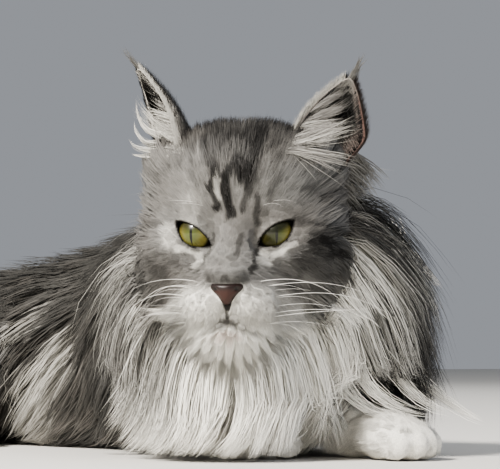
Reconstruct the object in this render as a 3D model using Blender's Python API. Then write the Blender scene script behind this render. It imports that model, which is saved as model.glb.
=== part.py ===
"""A Maine Coon cat, life size, lying on its chest with its head turned to its right.

The shapes are worked out in millimetres in the cat's own frame: +Y from the chest to the tail,
+X to the cat's left, +Z up from the floor it lies on. Objects are placed in metres.
Every body part is a closed surface round a few named ellipsoids and limbs that flow into each other.
The long coat is flat tapered locks that follow the lie of the hair and are fused to their part.
"""

import math
from dataclasses import dataclass

import bmesh
import bpy
import numpy as np
from mathutils import Euler, Matrix
from mathutils.bvhtree import BVHTree

MM = 0.001

# The middle of the belly, on the floor: the origin of the finished model
BELLY_MIDDLE = (0.0, 130.0, 0.0)
GAP = 0.35
SEED = 11

# How much of the long coat's depth the body parts take in under their locks
COAT_SHARE = 0.5

# Grid step in millimetres and triangles of each body part
HEAD_MAKE = (1.8, 1700)
NOSE_MAKE = (1.0, 200)
NECK_MAKE = (4.0, 520)
TORSO_MAKE = (4.0, 700)
LEFT_FORELEG_MAKE = (2.5, 560)
RIGHT_FORELEG_MAKE = (2.5, 400)
HIND_LEG_MAKE = (2.5, 480)
TAIL_MAKE = (3.0, 150)

COAT_FINISH = ("coat_silver_tabby", (0.35, 0.34, 0.32), 0.8)
PLAIN_SHAPES = {}
FINISHES = {
    "nose": ("nose_leather", (0.30, 0.12, 0.10), 0.5),
    "eye_left": ("eye_yellow_green", (0.45, 0.45, 0.12), 0.1),
    "eye_right": ("eye_yellow_green", (0.45, 0.45, 0.12), 0.1),
}

# Where the head is carried: between the eyes, turned to the right and a little down
HEAD_AT = (-78.0, -100.0, 130.0)
HEAD_TURN = -45.0
HEAD_NOD = 8.0

EYE_HALF_SPACING = 21.6
EYE_FORWARD = 1.0
EYE_RADIUS = 12.2
EYE_OUTWARD = 12.0
EYE_SEGMENTS = 14
EYE_RINGS = 8
LID_THICKNESS = 1.3
LID_WIDTH = 23.6
LID_UPPER = 5.2
LID_LOWER = 7.2
LID_SLANT = 28.0
LID_DEPTH = 7.5


@dataclass(frozen=True)
class Ball:
    """An ellipsoid of flesh: its centre, half sizes and turn in degrees, and the coat over it.

    A hollow one is taken out of the shapes before it.
    """

    centre: tuple
    radii: tuple
    turn: tuple = (0, 0, 0)
    blend: float = 10.0
    coat: float = 0.0
    both_sides: bool = False
    hollow: bool = False

    def distance(self, points):
        """Roughly how far each point is outside the ellipsoid."""
        at = mirrored(points) if self.both_sides else points
        turn = np.array(Euler([math.radians(a) for a in self.turn]).to_matrix())
        near = (at - np.array(self.centre)) @ turn
        radii = np.array(self.radii, float)
        k0 = np.linalg.norm(near / radii, axis=1)
        k1 = np.linalg.norm(near / radii**2, axis=1)
        return k0 * (k0 - 1) / np.maximum(k1, 1e-9)


@dataclass(frozen=True)
class Limb:
    """A tapered limb of flesh from one end to the other, with the coat over it."""

    start: tuple
    end: tuple
    start_radius: float
    end_radius: float
    blend: float = 10.0
    coat: float = 0.0
    both_sides: bool = False

    def distance(self, points):
        """Roughly how far each point is outside the limb."""
        at = mirrored(points) if self.both_sides else points
        start = np.array(self.start, float)
        along = np.array(self.end, float) - start
        share = np.clip((at - start) @ along / (along @ along), 0, 1)
        radius = self.start_radius + share * (self.end_radius - self.start_radius)
        return np.linalg.norm(at - start - share[:, None] * along, axis=1) - radius


def mirrored(points):
    """The points with the cat's right side folded onto its left."""
    folded = points.copy()
    folded[:, 0] = np.abs(folded[:, 0])
    return folded


def smooth_min(a, b, width):
    """The lower of two distances, with the corner between them rounded over the width."""
    overlap = np.maximum(width - np.abs(a - b), 0) / width
    return np.minimum(a, b) - overlap**2 * width / 4


def field_of(shapes, points, grow=0.0):
    """How far each point is outside the shapes, with a share of their coat laid on."""
    total = None
    for shape in shapes:
        near = shape.distance(points) - grow * shape.coat
        if total is None:
            total = near
        elif getattr(shape, "hollow", False):
            total = -smooth_min(-total, near, shape.blend)
        else:
            total = smooth_min(total, near, shape.blend)
    return total


EYE_AT = (EYE_HALF_SPACING, -EYE_FORWARD, 0.0)

# The head's own frame: origin between the eyes, -Y to the nose, +Z up, in millimetres
HEAD = (
    Ball((16, 32, 21), (33, 41, 36.5), blend=14, coat=5, both_sides=True),
    Ball((0, 31, 22), (36, 41, 37), blend=10, coat=5),
    Ball((0, 13, 17), (36, 22, 29), blend=16, coat=3),
    Ball((38, 31, 32), (15, 16, 17), blend=14, coat=4, both_sides=True),
    Ball((33, 20, -14), (24, 30, 28), blend=18, coat=5, both_sides=True),
    Ball((29, 5, -15), (18, 16, 15), blend=14, coat=2, both_sides=True),
    Ball((19, 2, 13), (16, 12, 7.5), (0, -12, 14), blend=7, coat=1, both_sides=True),
    Limb((0, 7, 14), (0, -32, -25), 13, 9, blend=10, coat=1),
    Ball((0, -10, -29), (27, 28, 19), blend=16, coat=2),
    Ball((11.5, -32, -37), (14, 13.5, 12), blend=7, coat=1.5, both_sides=True),
    Ball((0, -30, -47.5), (15, 13, 9.5), blend=6, coat=1.5),
    Ball((0, 2, -42), (27, 36, 16), blend=14, coat=5),
    Ball((24, -17, -2), (14, 9, 9), (0, -18, 0), blend=6, both_sides=True, hollow=True),
    Ball(EYE_AT, (EYE_RADIUS + LID_THICKNESS,) * 3, blend=3, both_sides=True),
)
NOSE = (
    Ball((0, -42.5, -27), (9.2, 6, 5), blend=4),
    Ball((0, -44, -32.5), (4.6, 4.6, 4), blend=4),
)
NOSTRIL = Limb((5.2, -48.5, -28.5), (8.6, -44, -26.5), 1.3, 0.9)
MOUTH_LINE = ((0, -47.5, -37), (0, -46.5, -43.5), (9, -41.5, -46.5), (19, -30, -45.5))
MOUTH_DEPTH = 1.2
PHILTRUM_DEPTH = 0.9
TORSO = (
    Ball((0, 55, 66), (60, 112, 66), blend=20, coat=12),
    Ball((0, 150, 57), (70, 115, 61), blend=20, coat=14),
    Ball((0, 262, 53), (63, 85, 57), blend=20, coat=14),
    Ball((52, 12, 72), (27, 52, 52), blend=18, coat=14, both_sides=True),
    Limb((0, 20, 96), (0, 285, 72), 32, 30, blend=24, coat=14),
)
NECK = (
    Limb((0, 20, 80), (-32, -52, 116), 52, 44, blend=20, coat=22),
    Ball((-6, -47, 68), (71, 48, 48), (0, 0, -37), blend=20, coat=26),
    Ball((27, -34, 98), (52, 42, 38), blend=20, coat=24),
    Ball((6, -81, 118), (31, 28, 34), blend=20, coat=24),
    Ball((-68, -32, 90), (28, 32, 34), blend=20, coat=22),
    Limb((-28, -50, 78), (-72, -86, 68), 44, 30, blend=20, coat=24),
)
HIND_LEG = (
    Ball((74, 236, 50), (33, 74, 47), (0, 0, -4), blend=12, coat=12),
    Limb((96, 296, 16), (104, 190, 13), 16, 12, blend=14, coat=5),
    Ball((104, 172, 13), (17, 24, 13), blend=10, coat=4),
)
HIND_TOES = ((104, 156, 9), 0, 9.5, 8.5)
LEFT_FORELEG = (
    Limb((58, 2, 34), (12, -94, 17), 25, 15, blend=14, coat=8),
    Limb((12, -94, 17), (10, -128, 13.5), 15, 13, blend=10, coat=3),
    Ball((11, -137, 12), (20, 21, 12), (0, 0, 8), blend=10, coat=2),
)
LEFT_TOES = ((13, -150, 9.5), 8, 10, 9.2)
RIGHT_FORELEG = (
    Limb((-62, 4, 34), (-66, -70, 17), 25, 15, blend=14, coat=8),
    Ball((-54, -80, 15), (24, 17, 14), (0, 0, 15), blend=12, coat=4),
)
RIGHT_TOES = ((-31, -84, 9), 75, 9, 8)
TAIL_PATH = (
    (0, 310, 60),
    (8, 356, 42),
    (34, 392, 26),
    (78, 404, 22),
    (120, 390, 21),
    (150, 354, 20),
    (162, 310, 19),
    (163, 268, 17),
    (156, 228, 14),
)
TAIL_RADII = (26, 21, 18, 16, 15, 14, 13, 11, 7)
TAIL_COAT = 16
TAIL_SPLITS = (0, 2, 4, 6, 8)


@dataclass(frozen=True)
class Ear:
    """The shell of an ear in the head's frame: where it stands, its tip and the way it opens."""

    name: str
    base: tuple
    tip: tuple
    opens: tuple
    half_width: float = 22.0
    depth: float = 15.0
    base_thickness: float = 2.4
    tip_thickness: float = 1.0
    sunk: float = 0.3
    rows: int = 8
    columns: int = 11

    def frame(self):
        """Base point, the way up, the way it opens and the way across."""
        base = np.array(self.base, float)
        up = np.array(self.tip, float) - base
        opens = np.array(self.opens, float)
        opens -= up * (opens @ up) / (up @ up)
        opens = unit(opens)
        return base, up, opens, np.cross(unit(up), opens)

    def point(self, height, across, inset):
        """A point of the shell: height 0 to 1, across -1 to 1, inset from its back in mm."""
        base, up, opens, side = self.frame()
        share = max(height, 0.0)
        width = self.half_width * (1 - share) ** 0.62 * (1 + 0.25 * math.sin(math.pi * share))
        depth = self.depth * (1 - share) ** 0.8
        angle = across * math.radians(100)
        bow = 4.0 * math.sin(math.pi * min(share, 1.0))
        out = side * math.sin(angle) * width - opens * math.cos(angle) * depth
        inward = unit(-side * math.sin(angle) * depth + opens * math.cos(angle) * width)
        return base + up * height - opens * bow + out + inward * inset

    def shell(self):
        """Points and faces of the closed shell, up to one point at the tip."""
        heights = np.linspace(-self.sunk, 0.97, self.rows)
        angles = np.linspace(-1, 1, self.columns)
        points = []
        for height in heights:
            share = max(height, 0)
            thick = self.base_thickness + share * (self.tip_thickness - self.base_thickness)
            points += [self.point(height, a, 0) for a in angles]
            points += [self.point(height, a, thick) for a in angles[::-1]]
        ring = 2 * self.columns
        faces = []
        for row in range(self.rows - 1):
            for i in range(ring):
                a, b = row * ring + i, row * ring + (i + 1) % ring
                faces.append((a, b, b + ring, a + ring))
        for i in range(self.columns - 1):
            faces.append((i, ring - 1 - i, ring - 2 - i, i + 1))
        tip = len(points)
        points.append(self.point(1.0, 0, 0))
        top = (self.rows - 1) * ring
        faces += [(top + i, top + (i + 1) % ring, tip) for i in range(ring)]
        return np.array(points), faces


LEFT_EAR = Ear("ear_left", (46, 32, 36), (62, 34, 85), (0.25, -0.96, 0.1))
RIGHT_EAR = Ear("ear_right", (-42, 32, 37), (-61, 33, 93), (-0.9, -0.45, 0.1))


def head_matrix():
    """From the head's frame to the cat's frame."""
    turn = Matrix.Rotation(math.radians(HEAD_TURN), 3, "Z")
    nod = Matrix.Rotation(math.radians(HEAD_NOD), 3, "X")
    return np.array(turn @ nod)


HEAD_AXES = head_matrix()


def from_head(points):
    """Points of the head's frame in the cat's frame."""
    return np.asarray(points, float) @ HEAD_AXES.T + np.array(HEAD_AT)


def to_head(points):
    """Points of the cat's frame in the head's frame."""
    return (np.asarray(points, float) - np.array(HEAD_AT)) @ HEAD_AXES


def tail_limbs(first, last):
    """The stretch of tail between two points of its path, as limbs."""
    steps = 3
    sized = np.column_stack([np.array(TAIL_PATH, float), TAIL_RADII])
    path = smooth_path(sized, steps)[first * steps : last * steps + 1]
    return tuple(
        Limb(tuple(a[:3]), tuple(b[:3]), a[3], b[3], 8, TAIL_COAT)
        for a, b in zip(path[:-1], path[1:])
    )


def surface_net(field, low, high, step):
    """Corner points and four-sided faces of the surface where the field is zero."""
    axes = [np.arange(low[i], high[i] + step, step) for i in range(3)]
    grid = np.stack(np.meshgrid(*axes, indexing="ij"), -1)
    value = field(grid.reshape(-1, 3)).reshape(grid.shape[:3])
    shape = np.array(value.shape) - 1
    total = np.zeros((*shape, 3))
    count = np.zeros(shape)
    crossings = []
    for axis in range(3):
        near = [slice(None)] * 3
        far = [slice(None)] * 3
        near[axis] = slice(None, -1)
        far[axis] = slice(1, None)
        first, second = value[tuple(near)], value[tuple(far)]
        crosses = (first < 0) != (second < 0)
        share = np.where(crosses, first / np.where(crosses, first - second, 1), 0)
        place = grid[tuple(near)].copy()
        place[..., axis] += share * step
        place *= crosses[..., None]
        others = [i for i in range(3) if i != axis]
        for a in (0, 1):
            for b in (0, 1):
                window = [slice(None)] * 3
                window[others[0]] = slice(a, shape[others[0]] + a)
                window[others[1]] = slice(b, shape[others[1]] + b)
                total += place[tuple(window)]
                count += crosses[tuple(window)]
        crossings.append((axis, others, crosses, first < 0))
    filled = count > 0
    index = np.full(shape, -1)
    index[filled] = np.arange(filled.sum())
    corners = total[filled] / count[filled][:, None]
    faces = []
    for axis, others, crosses, starts_inside in crossings:
        at = np.argwhere(crosses)
        kept = np.all([(at[:, o] > 0) & (at[:, o] < shape[o]) for o in others], axis=0)
        at = at[kept]
        ring = []
        for a, b in ((1, 1), (0, 1), (0, 0), (1, 0)):
            cell = at.copy()
            cell[:, others[0]] -= a
            cell[:, others[1]] -= b
            ring.append(index[tuple(cell.T)])
        quads = np.stack(ring, 1)
        outward = starts_inside[tuple(at.T)] ^ (axis == 1)
        quads[~outward] = quads[~outward][:, ::-1]
        faces.append(quads)
    return corners, np.concatenate(faces)


def settled(field, points, rounds=2):
    """The points moved onto the surface where the field is zero."""
    for _ in range(rounds):
        slope = gradient(field, points)
        size = np.maximum((slope**2).sum(1), 0.05)
        points = points - (field(points) / size)[:, None] * slope
    return points


def gradient(field, points, reach=0.5):
    """The direction in which the field grows at each point."""
    slope = np.empty_like(points)
    for axis in range(3):
        offset = np.zeros(3)
        offset[axis] = reach
        slope[:, axis] = (field(points + offset) - field(points - offset)) / (2 * reach)
    return slope


def unit(vectors):
    """The vectors at length one."""
    vectors = np.asarray(vectors, float)
    return vectors / np.maximum(np.linalg.norm(vectors, axis=-1, keepdims=True), 1e-9)


def mesh_object(name, points, faces):
    """A new object from points in millimetres."""
    mesh = bpy.data.meshes.new(name)
    scaled = (np.asarray(points, float) - BELLY_MIDDLE) * MM
    mesh.from_pydata(scaled.tolist(), [], [list(map(int, face)) for face in faces])
    made = bpy.data.objects.new(name, mesh)
    bpy.context.scene.collection.objects.link(made)
    return made


def apply_modifiers(made):
    """Replaces the object's mesh by the one that its modifiers give."""
    graph = bpy.context.evaluated_depsgraph_get()
    mesh = bpy.data.meshes.new_from_object(made.evaluated_get(graph))
    made.modifiers.clear()
    made.data = mesh


def keep_largest(made):
    """Keeps only the largest closed surface of the object."""
    work = bmesh.new()
    work.from_mesh(made.data)
    unseen = set(work.verts)
    shells = []
    while unseen:
        front = [unseen.pop()]
        shell = set(front)
        while front:
            vertex = front.pop()
            for edge in vertex.link_edges:
                other = edge.other_vert(vertex)
                if other in unseen:
                    unseen.remove(other)
                    shell.add(other)
                    front.append(other)
        shells.append(shell)
    if len(shells) > 1:
        sizes = [shell_volume(shell) for shell in shells]
        largest = sizes.index(max(sizes))
        rest = [v for i, shell in enumerate(shells) if i != largest for v in shell]
        bmesh.ops.delete(work, geom=rest, context="VERTS")
    bmesh.ops.triangulate(work, faces=work.faces)
    work.to_mesh(made.data)
    work.free()


def shell_volume(shell):
    """The volume inside a set of connected vertices."""
    faces = {face for vertex in shell for face in vertex.link_faces}
    total = 0.0
    for face in faces:
        corners = [v.co for v in face.verts]
        for i in range(1, len(corners) - 1):
            total += corners[0].dot(corners[i].cross(corners[i + 1])) / 6
    return total


def flesh(name, field, low, high, step, triangles):
    """A closed body part from its field, thinned to about that many triangles."""
    points, faces = surface_net(field, low, high, step)
    made = mesh_object(name, settled(field, points), faces)
    thin = made.modifiers.new("thin", "DECIMATE")
    thin.ratio = min(1.0, triangles / (2 * len(faces)))
    thin.use_collapse_triangulate = True
    apply_modifiers(made)
    keep_largest(made)
    return made


def boolean(made, other, operation, solver="EXACT"):
    """Joins or cuts the object by another."""
    step = made.modifiers.new(operation.lower(), "BOOLEAN")
    step.operation = operation
    step.object = other
    step.solver = solver
    apply_modifiers(made)


def grown_copy(made, gap):
    """A copy of the object that is larger by the gap all over, in millimetres."""
    mesh = made.data.copy()
    points = np.empty(len(mesh.vertices) * 3)
    normals = np.empty(len(mesh.vertices) * 3)
    mesh.vertices.foreach_get("co", points)
    mesh.vertices.foreach_get("normal", normals)
    mesh.vertices.foreach_set("co", points + normals * gap * MM)
    copy = bpy.data.objects.new(made.name + "_grown", mesh)
    bpy.context.scene.collection.objects.link(copy)
    return copy


def cut_clear(made, *others):
    """Cuts the object back to a small gap from each of the others."""
    for other in others:
        cutter = grown_copy(PLAIN_SHAPES.get(other.name, other), GAP)
        boolean(made, cutter, "DIFFERENCE")
        bpy.data.objects.remove(cutter)
    keep_largest(made)


def keep_plain_shape(made):
    """Keeps a hidden copy of the object as it is before small features are cut into it."""
    copy = bpy.data.objects.new(made.name + "_plain", made.data.copy())
    bpy.context.scene.collection.objects.link(copy)
    copy.hide_render = True
    PLAIN_SHAPES[made.name] = copy


def floor_cut(made):
    """Cuts the object flat where it rests on the floor."""
    corners = [(x, y, z) for x in (-400, 400) for y in (-400, 600) for z in (-200, 0)]
    faces = ((0, 1, 3, 2), (4, 6, 7, 5), (0, 4, 5, 1), (2, 3, 7, 6), (0, 2, 6, 4), (1, 5, 7, 3))
    slab = mesh_object("slab", corners, faces)
    boolean(made, slab, "DIFFERENCE")
    bpy.data.objects.remove(slab)
    keep_largest(made)


def painted(made, name, colour, roughness):
    """Gives the object a plain material."""
    material = bpy.data.materials.get(name) or bpy.data.materials.new(name)
    material.use_nodes = True
    shader = material.node_tree.nodes["Principled BSDF"]
    shader.inputs["Base Color"].default_value = (*colour, 1)
    shader.inputs["Roughness"].default_value = roughness
    made.data.materials.clear()
    made.data.materials.append(material)
    made.data.shade_smooth()
    made.data.set_sharp_from_angle(angle=math.radians(50))
    return made


def placed(points):
    """Points of the head's frame as Blender takes them."""
    return from_head(np.asarray(points, float))


def eye_mesh(name, side, radius):
    """An eyeball, its poles on its own line of sight."""
    away = math.radians(EYE_OUTWARD)
    look = np.array([side * math.sin(away), -math.cos(away), 0])
    across = np.cross(look, (0, 0, 1))
    centre = np.array(EYE_AT) * (side, 1, 1)
    points = [centre + look * radius]
    for ring in range(1, EYE_RINGS):
        lean = math.pi * ring / EYE_RINGS
        for step in range(EYE_SEGMENTS):
            turn = 2 * math.pi * step / EYE_SEGMENTS
            flat = across * math.cos(turn) + np.array([0, 0, 1]) * math.sin(turn)
            points.append(centre + radius * (look * math.cos(lean) + flat * math.sin(lean)))
    points.append(centre - look * radius)
    last = len(points) - 1
    faces = []
    for step in range(EYE_SEGMENTS):
        after = (step + 1) % EYE_SEGMENTS
        faces.append((0, 1 + step, 1 + after))
        for ring in range(EYE_RINGS - 2):
            a, b = 1 + ring * EYE_SEGMENTS, 1 + (ring + 1) * EYE_SEGMENTS
            faces.append((a + step, b + step, b + after, a + after))
        a = 1 + (EYE_RINGS - 2) * EYE_SEGMENTS
        faces.append((a + step, last, a + after))
    return facing_out(mesh_object(name, placed(points), faces))


def lid_opening(side):
    """A prism through the lids, almond shaped, with its inner corner low."""
    away = math.radians(EYE_OUTWARD)
    look = np.array([side * math.sin(away), -math.cos(away), 0])
    across = side * np.cross(look, (0, 0, 1)) * -1
    up = np.array([0, 0, 1.0])
    slant = math.radians(LID_SLANT)
    out = across * math.cos(slant) + up * math.sin(slant)
    rise = up * math.cos(slant) - across * math.sin(slant)
    centre = np.array(EYE_AT) * (side, 1, 1)
    outline = []
    steps = 9
    for i in range(steps):
        share = i / steps
        outline.append((share * 2 - 1, -LID_LOWER * math.sin(math.pi * share) ** 0.9))
    for i in range(steps):
        share = i / steps
        outline.append((1 - share * 2, LID_UPPER * math.sin(math.pi * share) ** 0.7))
    points = []
    for depth, spread in ((LID_DEPTH, 0.96), (EYE_RADIUS * 2, 1.12)):
        for x, y in outline:
            flat = out * x * LID_WIDTH / 2 * spread + rise * y * spread
            points.append(centre + look * depth + flat)
    return prism("lid_opening", placed(points), len(outline))


def prism(name, points, sides):
    """A closed tube through rings of points, capped at both ends."""
    faces = [tuple(range(sides)), tuple(range(len(points) - sides, len(points)))]
    for ring in range(len(points) // sides - 1):
        for i in range(sides):
            a, b = ring * sides + i, ring * sides + (i + 1) % sides
            faces.append((a, b, b + sides, a + sides))
    return facing_out(mesh_object(name, points, faces))


def facing_out(made):
    """Turns the faces of a closed mesh outwards."""
    work = bmesh.new()
    work.from_mesh(made.data)
    bmesh.ops.recalc_face_normals(work, faces=work.faces)
    work.to_mesh(made.data)
    work.free()
    return made


def cut_away(made, cutter):
    """Cuts the object by another, which is then removed."""
    boolean(made, cutter, "DIFFERENCE")
    bpy.data.objects.remove(cutter)


def tube(name, path, radius, sides=6):
    """A round tube along a path of the head's frame."""
    points = []
    path = np.asarray(path, float)
    for i, at in enumerate(path):
        along = unit(path[min(i + 1, len(path) - 1)] - path[max(i - 1, 0)])
        first = unit(np.cross(along, (0.3, 0.2, 1)))
        second = np.cross(along, first)
        for step in range(sides):
            turn = 2 * math.pi * step / sides
            points.append(at + radius * (first * math.cos(turn) + second * math.sin(turn)))
    return prism(name, placed(points), sides)


def head_parts():
    """The head with its sockets, lids and mouth, and the eyes, nose and ears apart from it."""
    head = flesh("head", head_field, *head_box(), *HEAD_MAKE)
    keep_plain_shape(head)
    nose = flesh("nose", nose_field, *nose_box(), *NOSE_MAKE)
    cut_clear(head, nose)
    cut_away(head, mouth_cutter())
    for side in (-1, 1):
        start = np.array(NOSTRIL.start) * (side, 1, 1)
        end = np.array(NOSTRIL.end) * (side, 1, 1)
        cut_away(nose, tube("nostril", (start, (start + end) / 2, end), NOSTRIL.start_radius))
    keep_largest(nose)
    parts = [head, nose]
    for side, name in ((1, "eye_left"), (-1, "eye_right")):
        cut_away(head, eye_mesh("socket", side, EYE_RADIUS + GAP))
        cut_away(head, lid_opening(side))
        parts.append(eye_mesh(name, side, EYE_RADIUS))
    keep_largest(head)
    for ear in (LEFT_EAR, RIGHT_EAR):
        points, faces = ear.shell()
        made = facing_out(mesh_object(ear.name, placed(points), faces))
        cut_clear(made, head)
        parts.append(made)
    return parts


def mouth_cutter():
    """A thin tube along the philtrum and the line of the mouth, half sunk in the skin."""
    down = np.array(MOUTH_LINE[:2], float)
    along = np.array(MOUTH_LINE[1:], float)
    left = smooth_path(along, 3)
    right = left[::-1] * (-1, 1, 1)
    line = to_head(settled(head_field, from_head(np.vstack([right, left[1:]])), 3))
    groove = tube("mouth_line", line, MOUTH_DEPTH)
    start = to_head(settled(head_field, from_head(smooth_path(down, 3)), 3))
    start[-1, 2] -= MOUTH_DEPTH / 2
    boolean(groove, tube("philtrum", start, PHILTRUM_DEPTH), "UNION")
    bpy.data.objects.remove(bpy.data.objects["philtrum"])
    return groove


def smooth_path(points, steps):
    """The points with others between them on a smooth curve through them."""
    points = np.asarray(points, float)
    before = np.vstack([2 * points[0] - points[1], points[:-1]])
    after = np.vstack([points[1:], 2 * points[-1] - points[-2]])
    lean = (after - before) / 2
    made = []
    for i in range(len(points) - 1):
        for step in range(steps):
            t = step / steps
            made.append(
                (2 * t**3 - 3 * t**2 + 1) * points[i]
                + (t**3 - 2 * t**2 + t) * lean[i]
                + (3 * t**2 - 2 * t**3) * points[i + 1]
                + (t**3 - t**2) * lean[i + 1]
            )
    made.append(points[-1])
    return np.array(made)


def toes(place, heading, radius, spacing):
    """Four toes in a fan: the middle of the row, the way the paw points and their size."""
    turn = math.radians(heading)
    ahead = np.array([math.sin(turn), -math.cos(turn), 0])
    across = np.array([math.cos(turn), math.sin(turn), 0])
    row = []
    for number in (-1.5, -0.5, 0.5, 1.5):
        back = 5.0 if abs(number) > 1 else 0.0
        centre = np.array(place) + across * number * spacing - ahead * back
        radii = (radius * 0.62, radius * 1.1, radius * 0.92)
        row.append(Ball(tuple(centre), radii, (0, 0, heading), blend=2.5, coat=1))
    return tuple(row)


def head_field(points):
    """How far each point is outside the head with its coat."""
    return field_of(HEAD, to_head(points), 1.0)


def nose_field(points):
    """How far each point is outside the nose leather."""
    return field_of(NOSE, to_head(points))


def head_box():
    """The low and high corner of a box round the head."""
    reach = np.array([80.0, 80.0, 80.0])
    return np.array(HEAD_AT) - reach, np.array(HEAD_AT) + reach


def nose_box():
    """The low and high corner of a box round the nose."""
    middle = from_head(NOSE[0].centre)
    reach = np.array([16.0, 16.0, 14.0])
    return middle - reach, middle + reach


def shapes_box(shapes):
    """The low and high corner of a box round a body part with its coat."""
    corners = []
    for shape in shapes:
        if isinstance(shape, Ball):
            reach = max(shape.radii) if any(shape.turn) else np.array(shape.radii, float)
            ends = (np.array(shape.centre, float),)
        else:
            reach = max(shape.start_radius, shape.end_radius)
            ends = (np.array(shape.start, float), np.array(shape.end, float))
        for end in ends:
            corners += [end - reach - shape.coat - 6, end + reach + shape.coat + 6]
            if shape.both_sides:
                corners += [corners[-1] * (-1, 1, 1), corners[-2] * (-1, 1, 1)]
    return np.min(corners, axis=0), np.max(corners, axis=0)


def body_part(name, shapes, step, triangles):
    """A closed body part made from its shapes and cut flat at the floor."""
    made = flesh(
        name,
        lambda points: field_of(shapes, points, COAT_SHARE),
        *shapes_box(shapes),
        step,
        triangles,
    )
    floor_cut(made)
    return made


def on_the_right(shapes):
    """The same shapes on the cat's right side."""
    turned = []
    for shape in shapes:
        if isinstance(shape, Ball):
            centre = (-shape.centre[0], *shape.centre[1:])
            turn = (shape.turn[0], -shape.turn[1], -shape.turn[2])
            turned.append(Ball(centre, shape.radii, turn, shape.blend, shape.coat))
        else:
            start = (-shape.start[0], *shape.start[1:])
            end = (-shape.end[0], *shape.end[1:])
            radii = (shape.start_radius, shape.end_radius)
            turned.append(Limb(start, end, *radii, shape.blend, shape.coat))
    return tuple(turned)


def body_field(points):
    """How far each point is outside the whole cat, over the body parts that the locks leave."""
    hind = HIND_LEG + toes(*HIND_TOES)
    groups = (
        NECK,
        TORSO,
        LEFT_FORELEG + toes(*LEFT_TOES),
        RIGHT_FORELEG + toes(*RIGHT_TOES),
        hind,
        on_the_right(hind),
        tail_limbs(0, len(TAIL_PATH) - 1),
    )
    total = head_field(points)
    for shapes in groups:
        total = smooth_min(total, field_of(shapes, points, COAT_SHARE), 4.0)
    return total


def weight_of(distance, reach):
    """A share from 1 inside a body part down to 0 at that reach outside it."""
    return np.clip(1 - distance / reach, 0, 1)


def lie_of(points):
    """The way the coat lies at each point, not yet laid along the skin."""
    down = np.array([0, 0, -1.0])
    side = np.sign(points[:, :1])
    flank = np.clip(np.abs(points[:, :1]) / 60, 0, 1)
    torso = np.array([0, 1.0, 0]) + down * (0.15 + 0.75 * flank)
    torso = torso + side * np.array([0.12, 0, 0])
    from_face = points - from_head(RUFF_MIDDLE)
    axis = HEAD_AXES[:, 1]
    outward = unit(from_face - np.outer(from_face @ axis, axis))
    ruff = 0.75 * outward + RUFF_FALL * down + RUFF_BACK * axis
    tail, near_tail = along_tail(points)
    tail = tail + 0.25 * down
    ruff_share = weight_of(field_of(NECK, points, COAT_SHARE), 25)[:, None]
    ruff_share = ruff_share * np.clip((60 - points[:, 1:2]) / 60, 0, 1)
    tail_share = weight_of(near_tail - 34, 20)[:, None]
    lie = torso * (1 - ruff_share) * (1 - tail_share) + ruff * ruff_share + tail * tail_share
    face = unit(points - from_head(NOSE[0].centre)) + 0.5 * down
    head_share = weight_of(head_field(points), 8)[:, None]
    return unit(lie * (1 - head_share) + face * head_share)


def on_cheek(points):
    """Which points lie on the cheeks or behind the ears, where the head's coat grows long."""
    at = to_head(points)
    cheek = (at[:, 2] < CHEEK_TOP) & (at[:, 1] > 0)
    behind_ear = at[:, 1] > BEHIND_EAR
    return (np.abs(at[:, 0]) > CHEEK_FROM) & (cheek | behind_ear)


def along_tail(points):
    """The way the nearest stretch of tail runs, and how far off its middle is."""
    path = smooth_path(TAIL_PATH, 3)
    middles = (path[1:] + path[:-1]) / 2
    away = np.linalg.norm(points[:, None] - middles, axis=2)
    nearest = away.argmin(1)
    return unit(path[1:] - path[:-1])[nearest], away.min(1)


@dataclass(frozen=True)
class Coat:
    """The locks of one body part: their sizes in millimetres and how closely they stand."""

    length: tuple
    width: float
    thickness: float
    rise: float
    along: float
    across: float
    most: int
    curl: float = 16.0
    root_depth: float = 5.0
    border: float = 9.0
    steps: int = 4


RUFF_MIDDLE = (0, 20, 0)
RUFF_FALL = 0.9
RUFF_BACK = 0.35
ROOT_TRIES = 3000
ROOT_BACK = 3.0
LOCK_FLOOR = 5.0
LOWEST_HAIR = 0.4
STRAIGHTEST_FOLD = 0.65
# For a lock that touches its neighbours: a share of its length, and how much higher it lies
LOCK_CHOICES = ((1.0, 0.0), (1.0, 2.5), (0.7, 1.0), (0.5, 3.0))
RUFF_LOCKS = Coat((55, 80), 23, 4.5, 13, along=40, across=20, most=39, border=7, curl=12)
TORSO_LOCKS = Coat((62, 82), 29, 4.5, 8, along=54, across=27, most=27)
TAIL_LOCKS = Coat((48, 62), 21, 4.0, 11, along=32, across=19, most=5)
BRITCHES = Coat((42, 56), 21, 4.0, 8, along=36, across=21, most=8)
FEATHERS = Coat((28, 38), 14, 3.5, 6, along=24, across=13, most=5)
CHEEK_TUFTS = Coat((28, 40), 13, 3.0, 7, along=17, across=10, most=18, root_depth=4, border=6)
CHEEK_FROM = 33.0
CHEEK_TOP = -2.0
BEHIND_EAR = 34.0
LOCK_WIDTHS = (0.75, 1.0, 0.9, 0.55)
LOCK_THICKNESSES = (1.0, 1.0, 0.8, 0.55)
EAR_TUFTS = ((0.82, -0.25, 15), (0.88, 0.0, 17), (0.84, 0.3, 14))
EAR_TUFT_SIZE = (5.0, 2.4)
FURNISHINGS = ((0.34, 34), (0.42, 32), (0.5, 27), (0.6, 21))
FURNISHING_SIZE = (7.0, 2.0)
FURNISHING_AT = 0.8


def turned_about(vectors, axes, angles):
    """Each vector turned about its axis by its angle in radians."""
    cosine, sine = np.cos(angles)[:, None], np.sin(angles)[:, None]
    dots = (vectors * axes).sum(1, keepdims=True)
    return vectors * cosine + np.cross(axes, vectors) * sine + axes * dots * (1 - cosine)


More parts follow.
